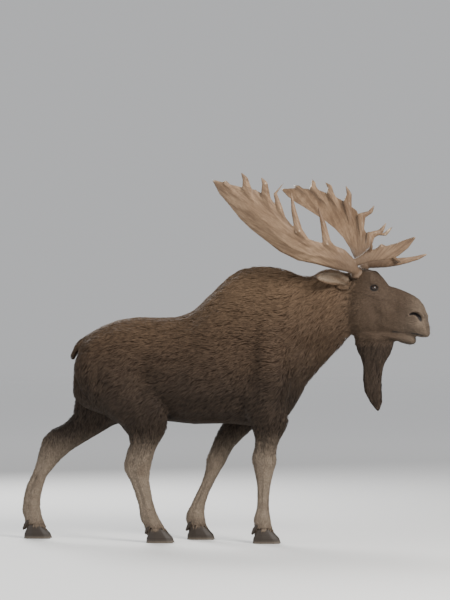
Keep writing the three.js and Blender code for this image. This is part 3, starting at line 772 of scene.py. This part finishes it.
def pit_at(points):
    """1 inside the nostrils and the mouth."""
    head = in_half_head(points)
    nostril = rise(from_line(head, np.array(NOSTRIL) - (9, 18, -2))[0], 0.018, 0.010)
    mouth = rise(from_line(head, np.array(MOUTH) - (0, 10, 0))[0], 0.012, 0.005)
    return np.maximum(nostril, 0.85 * mouth)


def bare_nose(points):
    """1 on the small hairless patch between the nostrils."""
    f, out, up = in_half_head(points).T
    out = out + 0.003 * waves(points, 0.02, 8)
    broad = 0.008 + 0.26 * np.clip(up - 1.540, 0, 0.06)
    return rise(f, 0.62, 0.64) * rise(out / broad, 1.5, 0.5) * rise(abs(up - 1.570), 0.038, 0.018)


where = points_of(skin)
note(skin, "shaded_pit", pit_at(where))
note(skin, "bare", bare_nose(where))
note(skin, "inner_ear", inner_ear(where, normals_of(skin)))
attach(skin, "root")
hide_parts(*[name for name in FLESH if not name.startswith("eye")])

# %% [markdown]
# ## Markings
# A grown bull is dark: almost black on shoulders, flanks and thighs, a warmer brown over the hump
# and along the back, grey-brown on the face, and pale grey-fawn on the legs from the knees down.
# Skin and hair both take their colour from one function of place, so that they always agree, and
# the borders are broken up with noise, because no mark on an animal has a ruled edge.

# %% The colours of the coat
BLACK_BROWN = (0.017, 0.011, 0.008)
BROWN = (0.042, 0.025, 0.015)
BACK_BROWN = (0.088, 0.055, 0.032)
SHIN_GREY = (0.182, 0.146, 0.112)
FACE_BROWN = (0.056, 0.038, 0.026)
MUZZLE_GREY = (0.112, 0.085, 0.063)
EAR_PALE = (0.20, 0.157, 0.118)
SOCK_BROWN = (0.080, 0.058, 0.042)


def head_place(finish):
    """The head's own frame inside a material."""
    return finish.node("ShaderNodeMapping", {}, {
        "Vector": finish.where, "Rotation": (0, 0, -HEAD_TURN),
        "Location": tuple(-(HEAD_AXES @ HEAD_ORIGIN))}).outputs[0]


def markings(finish):
    ragged = finish.noise(2.6, 4, 0.6) - 0.5
    fine = finish.noise(38, 3, 0.6) - 0.5
    x, z = finish.axis("X"), finish.axis("Z")
    sides = (z + 0.34 * ragged).step(0.95, 1.45)
    top = (z + 0.20 * ragged - 0.10 * x).step(1.32, 1.80)
    pale = (z + 0.16 * ragged + 0.05 * fine).step(0.80, 0.48)
    blotch = finish.noise(9, 3, 0.6)
    dark = (0.75 * (z + 0.05 * ragged).step(0.17, 0.08)).over(0.55 * blotch.step(0.50, 0.75))
    head = head_place(finish)
    forward, up = finish.axis("X", head), finish.axis("Z", head)
    face = (forward + 0.14 * ragged + 0.04 * fine).step(-0.04, 0.32)
    muzzle = (forward + 0.06 * ragged - 0.25 * (up - 1.6)).step(0.44, 0.66)
    bell = (up + 0.08 * ragged).step(1.45, 1.36) * forward.step(0.08, 0.14)
    # inner_ear is the pale hair in the ear cups, with painted shade deep in their base
    return finish.layers(
        BLACK_BROWN, (sides, BROWN), (top, BACK_BROWN),
        (pale, finish.mix(dark, SHIN_GREY, SOCK_BROWN)), (face, FACE_BROWN), (muzzle, MUZZLE_GREY),
        (bell, BLACK_BROWN), (0.9 * finish.named("inner_ear"), EAR_PALE)), fine


def edge_of_lids(finish):
    """1 on the bare dark rim round the eyes."""
    left, right = (finish.near(tuple(spot), (0.033, 0.033, 0.028)).step(1.05, 0.75)
                   for spot in (LEFT_EYE, RIGHT_EYE))
    return left.over(right)


# %% The finish of the skin
hide = Finish("hide", Roughness=0.72, Specular_IOR_Level=0.25)
coat_colour, fine = markings(hide)
bare, shaded_pit = hide.named("bare"), hide.named("shaded_pit")
streaks = hide.noise(1.0, 5, 0.65, hide.stretched((90, 260, 420), (0, 0, -HEAD_TURN)))
streaky = hide.mix(streaks.step(0.25, 0.75), (0.45, 0.44, 0.42), (1.25, 1.2, 1.15))
# painted shade: the insides of the nostrils and the mouth are made near black
hide.colour(coat_colour, (0.85, streaky, "MULTIPLY"), (0.7 * bare, (0.030, 0.024, 0.020)),
            (edge_of_lids(hide), (0.010, 0.008, 0.007)), (shaded_pit, (0.007, 0.005, 0.005)))
pebbles = hide.number("ShaderNodeTexVoronoi", {}, {"Vector": hide.where, "Scale": 260})
hide.bump((1 - bare) * streaks + bare * pebbles, 0.0025, 0.8)
hide.roughness(0.86 - 0.34 * bare - 0.30 * edge_of_lids(hide) - 0.25 * shaded_pit + 0.1 * fine)
skin.data.materials.append(hide.material)

# %% The eyeballs
CORNEA, CORNEA_HEIGHT = 34, 0.085  # degrees from its middle to its rim; as a share of the radius
eye_finish = Finish("wet_eye", Roughness=0.10, Specular_IOR_Level=0.3,
                    Coat_Weight=0.40, Coat_Roughness=0.02)
spokes = eye_finish.noise(420, 3, 0.7)
pupils, irises = [], []
for side, name in SIDES:
    ball, facing, _, _ = eye_frame(side)
    bpy.ops.object.select_all(action="DESELECT")
    bpy.ops.mesh.primitive_uv_sphere_add(segments=40, ring_count=26, radius=EYE_RADIUS)
    eye = bpy.context.active_object
    eye.name = f"eyeball_{name}"
    places = points_of(eye)
    from_middle = np.degrees(np.arccos(np.clip(places[:, 2] / EYE_RADIUS, -1, 1)))
    bulge = CORNEA_HEIGHT * np.exp(-((from_middle / CORNEA) ** 4))
    move_points(eye, places * (1 + bulge)[:, None])
    eye.rotation_euler = Vector(facing).to_track_quat("Z", "Y").to_euler()
    eye.location = ball
    bpy.ops.object.transform_apply(location=True, rotation=True, scale=True)
    bpy.ops.object.shade_smooth()
    eye.data.materials.append(eye_finish.material)
    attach(eye, "root")
    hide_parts(f"eye_{name}")
    front = tuple(ball + facing * EYE_RADIUS)
    pupils.append(eye_finish.near(front, (0.0085, 0.0085, 0.0052)).step(1.15, 0.9))
    irises.append(eye_finish.near(front, (0.0155, 0.0155, 0.0150)).step(1.1, 0.95))
    print(eye.name, "stands at", [round(c, 3) for c in ball])
pupil, iris = pupils[0].over(pupils[1]), irises[0].over(irises[1])
brown = eye_finish.mix(spokes, (0.015, 0.007, 0.004), (0.036, 0.017, 0.008))
eye_finish.colour((0.016, 0.010, 0.008), (iris, brown), (pupil, (0.002, 0.002, 0.003)))

# %% [markdown]
# ## Antlers
# Each antler is one bone: a short round beam, a great scooped palm edged with tines, and a smaller
# brow palm in front. Joining copies of its two solids and remeshing them closes the fork. Blood
# vessels once ran over it under velvet and left grooves that fan out from the base. The base
# itself is beaded, with a knobbly ring, the burr, where it meets the skull. Tips and edges are
# polished pale by rubbing; those are the places that shrink most when a copy is smoothed, so that
# is how they are found.

# %% The antlers' shape
ANTLER_TRIANGLES = 80000  # each
ANTLER_VOXEL = 0.003
ANTLER_ROOT = np.array((0.188, 0.068, 1.882))
BEAM = np.array((-0.2, 0.79, 0.58))
GROW, OVER = np.array((-0.62, 0.50, 0.60)), np.array((0.80, 0.10, 0.59))


def along_antler(antler):
    """The direction round the fan, the distance from the base, and the height over the burr."""
    away = in_half_head(points_of(antler)) - ANTLER_ROOT
    return np.arctan2(away @ OVER, away @ GROW), np.linalg.norm(away, axis=1), away @ BEAM


antlers = []
for side, name in SIDES:
    solids = f"antler_{name}_palm", f"antler_{name}_brow"
    antler = copy_of(solids, f"antler_{name}", ANTLER_VOXEL)
    soften(antler, (70,))
    places = points_of(antler)
    fan, reach, level = along_antler(antler)
    mirrored = normals_of(antler) @ HEAD_AXES.T * (1, side, 1)
    flat = rise(abs(mirrored @ np.cross(GROW, OVER)), 0.2, 0.6)
    on_fan = np.stack((fan, 0.22 * reach, 0 * fan + side), 1)
    ridges = waves(on_fan, 0.30, 31 + side) + 0.5 * waves(on_fan, 0.12, 41 + side)
    vein = np.clip(0.25 - abs(waves(on_fan, 0.22, 11 + side)), 0, 1) * 4
    beads = np.clip(waves(places, 0.020, 21) - 0.3, 0, 1.5)
    burr = groove(level - 0.024, 0.009) * rise(reach, 0.13, 0.10)
    outer = rise(reach, 0.14, 0.34) * flat
    push = outer * (0.0018 * ridges - 0.0016 * vein * rise(reach, 1.14, 0.84))
    low_beads = 0.0016 * beads * rise(reach, 0.30, 0.14) * rise(level, 0.01, 0.03)
    push += low_beads + burr * (0.012 + 0.008 * beads)
    sunk = 0.030 * rise(level, 0.016, 0.004) * rise(reach, 0.14, 0.10)
    places -= sunk[:, None] * ((BEAM * (1, side, 1)) @ HEAD_AXES)
    move_points(antler, places + normals_of(antler) * push[:, None])
    thin(antler, ANTLER_TRIANGLES)
    smooth(antler, 3)
    fan, reach, level = along_antler(antler)
    note(antler, "fan", fan)
    note(antler, "reach", reach)
    places, normals = points_of(antler), normals_of(antler)
    smooth(antler, 36)
    lost = ((places - points_of(antler)) * normals).sum(1)
    note(antler, "worn", rise(lost, 0.0014, 0.0038) * rise(reach, 0.2, 0.4))
    move_points(antler, places)
    shade_smooth(antler.data)
    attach(antler, "root")
    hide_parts(*solids)
    antlers.append(antler)
    print(antler.name, "has", len(antler.data.polygons), "faces")

# %% The antlers' finish
bone = Finish("antler_bone", Roughness=0.5, Specular_IOR_Level=0.4)
fan, reach, worn = bone.named("fan"), bone.named("reach"), bone.named("worn")
on_fan = bone.together(X=30 * fan, Y=4.5 * reach, Z=3 * bone.axis("X"))
stain = bone.noise(3.2, 4, 0.6)
grain = bone.noise(1.0, 5, 0.62, on_fan)
fine_grain = bone.noise(5.0, 4, 0.6, on_fan)
specks = bone.noise(240, 3, 0.6)
bone.colour((0.150, 0.090, 0.050), (stain.step(0.25, 0.75), (0.255, 0.168, 0.100)),
            (0.6 * grain.step(0.56, 0.38), (0.078, 0.044, 0.024)),
            (0.35 * fine_grain.step(0.58, 0.42), (0.065, 0.037, 0.020)),
            (0.85 * worn * grain.step(0.25, 0.55), (0.56, 0.465, 0.34)),
            (0.65 * (reach + 0.1 * stain).step(0.42, 0.16), (0.060, 0.036, 0.021)))
bone.roughness(0.64 - 0.26 * worn + 0.16 * (fine_grain - 0.5))
bone.bump(0.5 * grain + 0.35 * fine_grain + 0.15 * specks, 0.004, 0.8)
for antler in antlers:
    antler.data.materials.append(bone.material)

# %% [markdown]
# ## Hooves and dewclaws
# A hoof is a horn shell over the last toe bone, and two make a foot. It grows down from the
# hairline in fine level ridges, is worn paler and rough at its lower edge, and stands flat on the
# floor. The solids are remeshed fine, smoothed, ridged, and pressed flat again underneath.

# %% The hooves' shape
HORN = [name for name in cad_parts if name.startswith(("hoof", "dewclaw"))]
HORN_VOXEL = 0.0026
HORN_KEPT = 0.35      # the share of its triangles that a piece keeps
RING_SPACING = 0.0085  # between the ridges of growth
horn_pieces = []
for number, name in enumerate(sorted(HORN)):
    horn = copy_of([name], name + "_horn", HORN_VOXEL)
    soften(horn, (34,))
    smooth(horn, 12)
    places = points_of(horn)
    ridge = np.sin(places[:, 2] * 2 * math.pi / RING_SPACING + 0.8 * waves(places, 0.05, number))
    rough = waves(places, 0.014, 50 + number) * rise(places[:, 2], 0.03, 0.0)
    places += normals_of(horn) * (0.00035 * ridge + 0.0006 * rough)[:, None]
    if name.startswith("hoof"):
        places[:, 2] = np.maximum(places[:, 2] - 0.005 * groove(places[:, 2], 0.018), 0)
    move_points(horn, places)
    apply(horn, "DECIMATE", ratio=HORN_KEPT)
    shade_smooth(horn.data)
    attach(horn, "root")
    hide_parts(name)
    horn_pieces.append(horn)
print(len(horn_pieces), "horn pieces of about", len(horn_pieces[-1].data.polygons), "faces")

# %% The hooves' finish
horn_finish = Finish("hoof_horn", Roughness=0.4, Specular_IOR_Level=0.25)
z = horn_finish.axis("Z")
wavy = z + 0.006 * horn_finish.noise(24, 3, 0.5)
rings = horn_finish.noise(1.0, 4, 0.6, horn_finish.together(Z=300 * wavy))
fibres = horn_finish.noise(1.0, 3, 0.6, horn_finish.stretched((500, 500, 24)))
frayed = (z + 0.02 * (fibres - 0.5)).step(0.026, 0.003)
horn_finish.colour((0.012, 0.009, 0.007), (rings.step(0.35, 0.70), (0.046, 0.034, 0.025)),
                   (0.6 * frayed, (0.12, 0.098, 0.076)))
horn_finish.roughness(0.46 + 0.25 * fibres - 0.1 * rings)
horn_finish.bump(0.6 * rings + 0.4 * fibres, 0.0012, 0.7)
for horn in horn_pieces:
    horn.data.materials.append(horn_finish.material)

# %% [markdown]
# ## The coat
# Hair could be strands, but then it would not be a solid mesh.
# Here the coat is made of locks: each is a thin closed sliver with three sides, rooted in the
# skin, that lies along the body and tapers to a point. More than a hundred thousand overlap like
# thatch. First the skin is unwrapped, so that each lock can take the colour of the place where it
# is rooted.

# %% Unwrap the skin
edit(skin,
     lambda: bpy.ops.mesh.select_all(action="SELECT"),
     lambda: bpy.ops.uv.smart_project(angle_limit=math.radians(66), island_margin=0.002))
mesh = skin.data
mesh.calc_loop_triangles()
SKIN_CORNERS = points_of(skin)[read(mesh.loop_triangles, "vertices", 3, np.int32)]
SKIN_MAP = read(mesh.uv_layers.active.data, "uv", 2).astype(float)
SKIN_MAP = SKIN_MAP[read(mesh.loop_triangles, "loops", 3, np.int32)]
sides = SKIN_CORNERS[:, 1:] - SKIN_CORNERS[:, :1]
crossed = np.cross(sides[:, 0], sides[:, 1])
SKIN_SIZES = np.linalg.norm(crossed, axis=1) / 2
SKIN_NORMALS = crossed / (2 * SKIN_SIZES[:, None] + 1e-12)
print("skin area", round(SKIN_SIZES.sum(), 2), "square metres")


# %% How the hair lies
def turned(flow, share, way):
    """Turns some of the flow another way: share is 0 to 1 for each point."""
    return flow * (1 - share[:, None]) + np.asarray(way, float) * share[:, None]


NOSE_WHORL = (0.650, 0, 1.572)  # hair on the muzzle grows away from the bare patch


def lie_of_coat(places):
    area = regions(places)
    x, y, z = places[:, 0], places[:, 1] - MIDDLE, places[:, 2]
    head = in_head(places)
    belly = rise(z, 0.93, 0.86) * rise(abs(y), 0.22, 0.12)
    breast = rise(x, 0.36, 0.46) * rise(z, 1.25, 1.05) * rise(z, 0.7, 0.85)
    haunch = rise(x, -0.62, -0.95) * rise(z, 1.5, 1.25)
    cheek = rise(head[:, 2], 1.80, 1.66) * rise(head[:, 0], 0.55, 0.40)
    backwards = turned(np.tile(0.12 * up_axis - nose_axis, (len(places), 1)), cheek,
                       -0.85 * nose_axis - 0.5 * up_axis)
    ear_tip = (-0.154 * nose_axis + 0.03 * up_axis + 0.222 * side_of(head) * out_axis) / 0.27
    flow = np.tile((-1.0, 0.0, -0.28), (len(places), 1))
    for share, way in ((0.7 * rise(z, 1.55, 1.0), (-0.75, 0, -0.65)), (belly, (-1, 0, 0)),
                       (area["neck"], (-0.72, 0, -0.70)), (breast, (-0.2, 0, -1)),
                       (haunch, (-0.30, 0, -1)), (area["leg"], (-0.16, 0, -1)),
                       (rise(area["face"], 0.2, 0.7), backwards),
                       (rise(head[:, 0], 0.48, 0.58), unit(places - from_head(NOSE_WHORL))),
                       (area["bell"], (-0.12, 0, -1)), (rise(area["ear"], 0.2, 0.5), ear_tip),
                       (area["tail"], (-0.35, 0, -1))):
        flow = turned(flow, share, way)
    return flow


# %% [markdown]
# A lock follows the skin: it takes a few steps along the lie of the coat, and after each step it
# is brought back to the nearest place on the skin and raised to its height there. So hair on the
# chest bends round the chest, and none of it dives through the hide or stands off into the air.
# Its shading normals are mostly those of the skin below it, so that light slides over the coat as
# over soft hair and not as over a heap of splinters.


# %% Growing the locks
def tree_of(pieces):
    """All faces of some pieces, ready for finding the nearest one."""
    corners, faces = [], []
    for piece in pieces:
        for face in piece.data.polygons:
            faces.append([len(corners) + corner for corner in face.vertices])
        corners += points_of(piece).tolist()
    return BVHTree.FromPolygons(corners, faces)


def nearest(places, tree):
    spots, ways = np.empty_like(places), np.empty_like(places)
    for i, place in enumerate(places.tolist()):
        spots[i], ways[i], _, _ = tree.find_nearest(place)
    return spots, ways


def unit(vectors): return vectors / (np.linalg.norm(vectors, axis=-1, keepdims=True) + 1e-9)


def flat_to(vectors, normals):
    """The directions along a surface that vectors point in."""
    return unit(vectors - normals * (vectors * normals).sum(-1, keepdims=True))


# the width and the height of a lock from root to tip, for locks of two and of three steps
WIDTHS = {2: (0.75, 0.9, 0), 3: (0.7, 1.0, 0.7, 0)}
HEIGHTS = {2: (-0.15, 0.7, 1.0), 3: (-0.1, 0.5, 0.88, 1.0)}
PATCH = 0.003        # each lock's share of the skin's unwrap, across
STRAND_SPREAD = 40   # over how much of the thread pattern the locks are spread


def lock_faces(rings):
    """The faces of one lock, made of rings of three points and a tip, and each corner's place."""
    faces, spots = [[0, 1, 2]], [[(0.1, 0.0), (0.5, 0.12), (0.9, 0.0)]]
    across = (0.0, 0.5, 1.0, 0.0)
    for ring in range(rings):
        low, high = ring / rings, (ring + 1) / rings
        for k in range(3):
            a, b = 3 * ring + k, 3 * ring + (k + 1) % 3
            left, right = across[k], across[k + 1]
            if ring == rings - 1:
                faces.append([b, a, 3 * rings])
                spots.append([(right, low), (left, low), (0.5, 1.0)])
                continue
            faces += [[b, a, a + 3], [b, a + 3, b + 3]]
            spots += [[(right, low), (left, low), (left, high)],
                      [(right, low), (left, high), (right, high)]]
    return np.array(faces), np.array(spots)


def join_locks(title, rows, ways, spots, inner, rings, chance):
    """Closed locks, joined: rows are their points from root to tip, ways the normals there."""
    corners = np.stack(rows, 1).reshape(-1, 3)
    faces, places = lock_faces(rings)
    count, per_lock = len(spots), 3 * rings + 1
    all_faces = (faces[None] + per_lock * np.arange(count)[:, None, None]).reshape(-1)
    mesh = bpy.data.meshes.new(title)
    mesh.vertices.add(len(corners))
    write(mesh.vertices, "co", corners)
    mesh.loops.add(len(all_faces))
    write(mesh.loops, "vertex_index", all_faces, np.int32)
    mesh.polygons.add(len(all_faces) // 3)
    write(mesh.polygons, "loop_start", np.arange(0, len(all_faces), 3), np.int32)
    mesh.update(calc_edges=True)
    places = places.reshape(-1, 2)
    patch = spots[:, None] + (places - 0.5)[None] * PATCH
    strand = places[None] + chance.random((count, 1, 2)) * STRAND_SPREAD
    for name, layer in (("OFBake", np.clip(patch, 0, 1)), ("Strand", strand)):
        write(mesh.uv_layers.new(name=name).data, "uv", layer)
    shade_smooth(mesh)
    mesh.validate()
    mesh.normals_split_custom_set_from_vertices(unit(np.stack(ways, 1).reshape(-1, 3)).tolist())
    piece = bpy.data.objects.new(title, mesh)
    bpy.context.scene.collection.objects.link(piece)
    note(piece, "shade", np.repeat(chance.random(count), per_lock))
    note(piece, "inner_ear", np.repeat(inner, per_lock))
    note(piece, "along", np.tile(np.append(np.repeat(np.arange(rings) / rings, 3), 1.0), count))
    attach(piece, "root")
    return piece


def grow(title, roots, normals, spots, inner, length, width, lift, rings, chance, slot, over, off):
    """A coat piece of many locks that follow the lie of the coat over a piece."""
    flow = flat_to(lie_of_coat(roots), normals)
    sway = 0.20 * waves(roots, 0.16, 3) + 0.12 * waves(roots, 0.045, 4)
    sway += chance.normal(0, 0.08, len(roots))
    flow = unit(flow + np.cross(normals, flow) * sway[:, None])
    tilt, stray = (0.6 + 8 * length)[:, None], chance.normal(0, 0.16, roots.shape)
    spot, normal, rows, ways = roots, normals, [], []
    for ring in range(rings + 1):
        if ring:
            spot, normal = nearest(spot + flow * (length / rings)[:, None] + off * normal, over)
            flow = flat_to(flow, normal)
        line = spot + normal * (HEIGHTS[rings][ring] * lift)[:, None]
        half = (WIDTHS[rings][ring] * width / 2)[:, None]
        across = np.cross(normal, flow)
        if ring == rings:
            rows, ways = rows + [line], ways + [normal + stray + 0.4 * flow]
            return join_locks(title, rows, ways, spots, inner, rings, chance)
        rows += [line - across * half, line + normal * half * 0.5, line + across * half]
        ways += [normal + stray + share * tilt * across for share in (-1, 0, 1)]


# %% [markdown]
# Hair is long over the hump, neck and bell, middling on the body, and a mere velvet on shins, face
# and ears. Each kind of hair has its row here: how many locks grow on a square metre, how long and
# broad they are, and in how many steps they bend. A region's share in a place sets the mixture.

# %% Kinds of hair
#            per m2  length  width  steps
HAIR = {
    "body":  (14500, 0.058, 0.0058, 2),
    "hump":  (15500, 0.086, 0.0058, 3),
    "neck":  (15500, 0.074, 0.0056, 3),
    "leg":   (20000, 0.036, 0.0048, 2),
    "shin":  (33000, 0.018, 0.0036, 2),
    "face":  (43000, 0.0150, 0.0028, 2),
    "bell":  (23000, 0.078, 0.0050, 3),
    "tail":  (18000, 0.050, 0.0050, 3),
    "ear":   (36000, 0.020, 0.0030, 2),
}


def hair_at(places, column):
    area = regions(places)
    value = np.full(len(places), float(HAIR["body"][column]))
    for name in list(HAIR)[1:]:
        value += (HAIR[name][column] - value) * area[name]
    return value


def on_muzzle(head): return rise(head[:, 0], 0.44, 0.60)


# %% Sowing the roots
SHORTEST_LIFT = 0.0016

chance = np.random.default_rng(7)
middles = SKIN_CORNERS.mean(1)
wanted = SKIN_SIZES * hair_at(middles, 0)
wanted *= rise(middles[:, 2], 0.07, 0.08)  # none inside the hooves
head = in_half_head(middles)
wanted *= (1 + 1.4 * rise(middles[:, 2], 0.14, 0.10)) * (1 + 0.4 * on_muzzle(head))
wanted *= rise(from_eye(head), 0.026, 0.031)
wanted *= (rise(from_line(head, NOSTRIL)[0], 0.009, 0.016)
           * rise(from_line(head, MOUTH)[0], 0.006, 0.012))
wanted *= rise(pit_at(middles), 0.4, 0.1) * rise(bare_nose(middles), 0.8, 0.3)
total = np.cumsum(wanted)
COUNT = int(total[-1])
picks = np.searchsorted(total, (np.arange(COUNT) + chance.random(COUNT)) * total[-1] / COUNT)
picks = np.minimum(picks, len(total) - 1)
a, b = chance.random((2, COUNT))
a, b = np.where(a + b > 1, 1 - a, a), np.where(a + b > 1, 1 - b, b)
shares = np.stack((1 - a - b, a, b), 1)[:, :, None]
roots = (SKIN_CORNERS[picks] * shares).sum(1)
root_spots = (SKIN_MAP[picks] * shares).sum(1)
root_normals = SKIN_NORMALS[picks]
area = regions(roots)
head = in_half_head(roots)
short = 1 - 0.5 * on_muzzle(head) - 0.35 * groove(from_eye(head), 0.06)
by_ear = 1 - 0.75 * groove(from_line(head, EAR_LINE)[0], 0.10) * (1 - area["ear"])
lengths = hair_at(roots, 1) * short * by_ear * chance.uniform(0.75, 1.25, COUNT)
widths = hair_at(roots, 2) * chance.uniform(0.7, 1.2, COUNT) * (1 - 0.3 * on_muzzle(head))
steps = np.rint(hair_at(roots, 3)).astype(int)
lifts = coat_depth(area, root_normals) * by_ear * chance.uniform(0.75, 1.02, COUNT)
lifts = np.maximum(lifts, SHORTEST_LIFT)
inner = inner_ear(roots, root_normals)
print("locks to grow:", COUNT)

# %% The coat, piece by piece
HOOF_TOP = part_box("hoof_fore_right_outer")[1][2]
MOST_TRIANGLES = 190000  # in one piece
FEWEST_LOCKS = 20
SKIN_TREE, HORN_TREE = tree_of([skin]), tree_of(horn_pieces)
coat = []


def grow_all(title, chosen, slot="hide", over=SKIN_TREE, off=0.0):
    """Grows the chosen locks, one piece for each number of steps, split while it is too big."""
    for rings in WIDTHS:
        which = np.flatnonzero(chosen & (steps == rings))
        faces = 6 * rings - 2
        parts = max(1, math.ceil(len(which) * faces / MOST_TRIANGLES))
        for part in range(parts):
            some = which[part::parts]
            if len(some) < FEWEST_LOCKS:
                continue
            name = f"coat_{title}_{rings}" + (f"_{part + 1}" if parts > 1 else "")
            kept = (of_all[some] for of_all in
                    (roots, root_normals, root_spots, inner, lengths, widths, lifts))
            coat.append(grow(name, *kept, rings, chance, slot, over, off))
            print(name, len(some), "locks,", len(some) * faces, "triangles")


face_like = (area["face"] > 0.5) | (area["ear"] > 0.5)
bell_like = area["bell"] > 0.5
over_hoof = roots[:, 2] - HOOF_TOP
low = over_hoof < 0.017
fringe = low & (over_hoof > 0.004)  # hangs over the hooves
hanging = 2 * (over_hoof[low] + 0.006) * chance.uniform(0.9, 1.2, low.sum())
lengths[low] = np.maximum(hanging, 0.012)
shin_like = (roots[:, 2] < 0.60) & ~bell_like & ~face_like & ~fringe
rest = ~(face_like | bell_like | shin_like | fringe)
left, front = roots[:, 1] > MIDDLE, roots[:, 0] > 0.0
grow_all("head", face_like)
grow_all("bell", bell_like)
grow_all("shins", shin_like, "pale_hide")
grow_all("fringes", fringe, "pale_hide", HORN_TREE, 0.007)
for part, half in (("fore", front), ("rear", ~front)):
    grow_all(part + "_left", rest & left & half)
    grow_all(part + "_right", rest & ~left & half)

# %% [markdown]
# Lashes are a row of fine bent slivers along the edge of each lid, longer above than below. They
# are built in the same way as the locks, but each runs free of the skin, out and away from the
# eye.

# %% Lashes
HAIR_WIDTH = 0.0006  # half the width of a lash or a whisker at its root


def free_hairs(title, path, out, across, over, spots):
    """Fine hairs along a path of shares from 0 to 1, thinning to a point at the end."""
    rows = []
    for share in (0, 1 / 3, 2 / 3):
        line, wide = path(share), across * HAIR_WIDTH * (1 - share)
        rows += [line - wide, line + over * (1 - share), line + wide]
    rows.append(path(1))
    coat.append(join_locks(title, rows, [out] * 10, spots, np.zeros(len(spots)), 3, chance))


ABOVE, BELOW = 46, 24  # lashes on each lid
for side, name in SIDES:
    ball, facing, ahead, above = eye_frame(side)
    degrees = np.concatenate((np.linspace(-52, 54, ABOVE), np.linspace(-40, 44, BELOW)))
    h, upper = np.radians(degrees), np.arange(ABOVE + BELOW) < ABOVE
    top, bottom = lid_edges(degrees)
    v = np.radians(np.where(upper, top + 3, -bottom - 3)) - DROOP * h
    out = (np.outer(np.cos(v) * np.cos(h), facing) + np.outer(np.cos(v) * np.sin(h), ahead)
           + np.outer(np.sin(v), above))
    tilt = np.where(upper, 0.45, -0.5)[:, None] * above + 0.5 * np.sin(h)[:, None] * ahead
    long = (np.where(upper, 0.017, 0.008) * chance.uniform(0.75, 1.15, len(h)))[:, None]
    root = ball + out * (EYE_RADIUS + 0.0018)
    spots = np.tile(SKIN_MAP[np.argmin(np.linalg.norm(middles - ball, axis=1)), 0], (len(h), 1))
    free_hairs(f"lashes_{name}", lambda share: root + (out * share + tilt * share ** 1.6) * long,
               out, unit(np.cross(out, above)), above * 0.0005, spots)
print("lashes:", 2 * (ABOVE + BELOW))

# %% [markdown]
# The lips and the chin also carry stiff whiskers, sparse and dark, that stand away from the short
# hair and droop at their ends. They are made as the lashes are.

# %% Whiskers
WHISKERS = 110

lips = (head[:, 0] > 0.50) & (head[:, 2] < 1.525) & (area["face"] > 0.5) & (pit_at(roots) < 0.1)
some = chance.choice(np.flatnonzero(lips), WHISKERS, replace=False)
out, long = root_normals[some], chance.uniform(0.014, 0.030, (WHISKERS, 1))
across = unit(np.cross(out, nose_axis + 0.3 * out_axis))
droop = 0.2 * nose_axis - 0.5 * up_axis
free_hairs("whiskers",
           lambda share: roots[some] + (out * (share - 0.05) + droop * share ** 2) * long,
           out, across, unit(np.cross(across, out)) * HAIR_WIDTH, root_spots[some])
print("whiskers:", WHISKERS)

# %% The finish of the hair
hair = Finish("hair", Roughness=0.6, Specular_IOR_Level=0.16)
coat_colour, fine = markings(hair)
shade, along = hair.named("shade"), hair.named("along")
strand = hair.node("ShaderNodeUVMap", {"uv_map": "Strand"}).outputs[0]
threads = hair.noise(1.0, 2, 0.6, hair.stretched((9, 1.2, 1), (0, 0, 0), strand))
tone = hair.mix(shade, (0.82, 0.81, 0.80), (1.22, 1.20, 1.17))
thready = hair.mix(threads, (0.68, 0.68, 0.68), (1.32, 1.32, 1.32))
# painted shade: the lower half of each lock, deep in the coat under other locks, is darkened
# towards its root
hair.colour(coat_colour, (1.0, tone, "MULTIPLY"),
            (0.13 * along * (0.3 + shade), (0.21, 0.155, 0.105)),
            (0.75 * along.step(0.5, 0.0), (0.40, 0.37, 0.35), "MULTIPLY"),
            (0.8, thready, "MULTIPLY"), (0.9 * edge_of_lids(hair), (0.008, 0.006, 0.005)))
hair.roughness(0.54 + 0.28 * threads)
hair.bump(threads, 0.0012, 0.6)
for piece in coat:
    piece.data.materials.append(hair.material)

# %% [markdown]
# ## The floor
# A pale plain floor carries the animal. It fades out far behind, so that no hard horizon cuts
# across the picture.

# %% Floor
FLOOR_RADIUS = 70

bpy.ops.object.select_all(action="DESELECT")
bpy.ops.mesh.primitive_circle_add(vertices=96, radius=FLOOR_RADIUS, fill_type="NGON")
floor = bpy.context.active_object
floor.name = "floor"
pale = Finish("pale_floor", Roughness=0.8)
spread = pale.length(pale.where)
pale.colour((0.60, 0.60, 0.59), (spread.step(3, 16), (0.92, 0.92, 0.92)))
pale.feed(pale.shader.inputs["Alpha"], spread.step(60, 14))
floor.data.materials.append(pale.material)
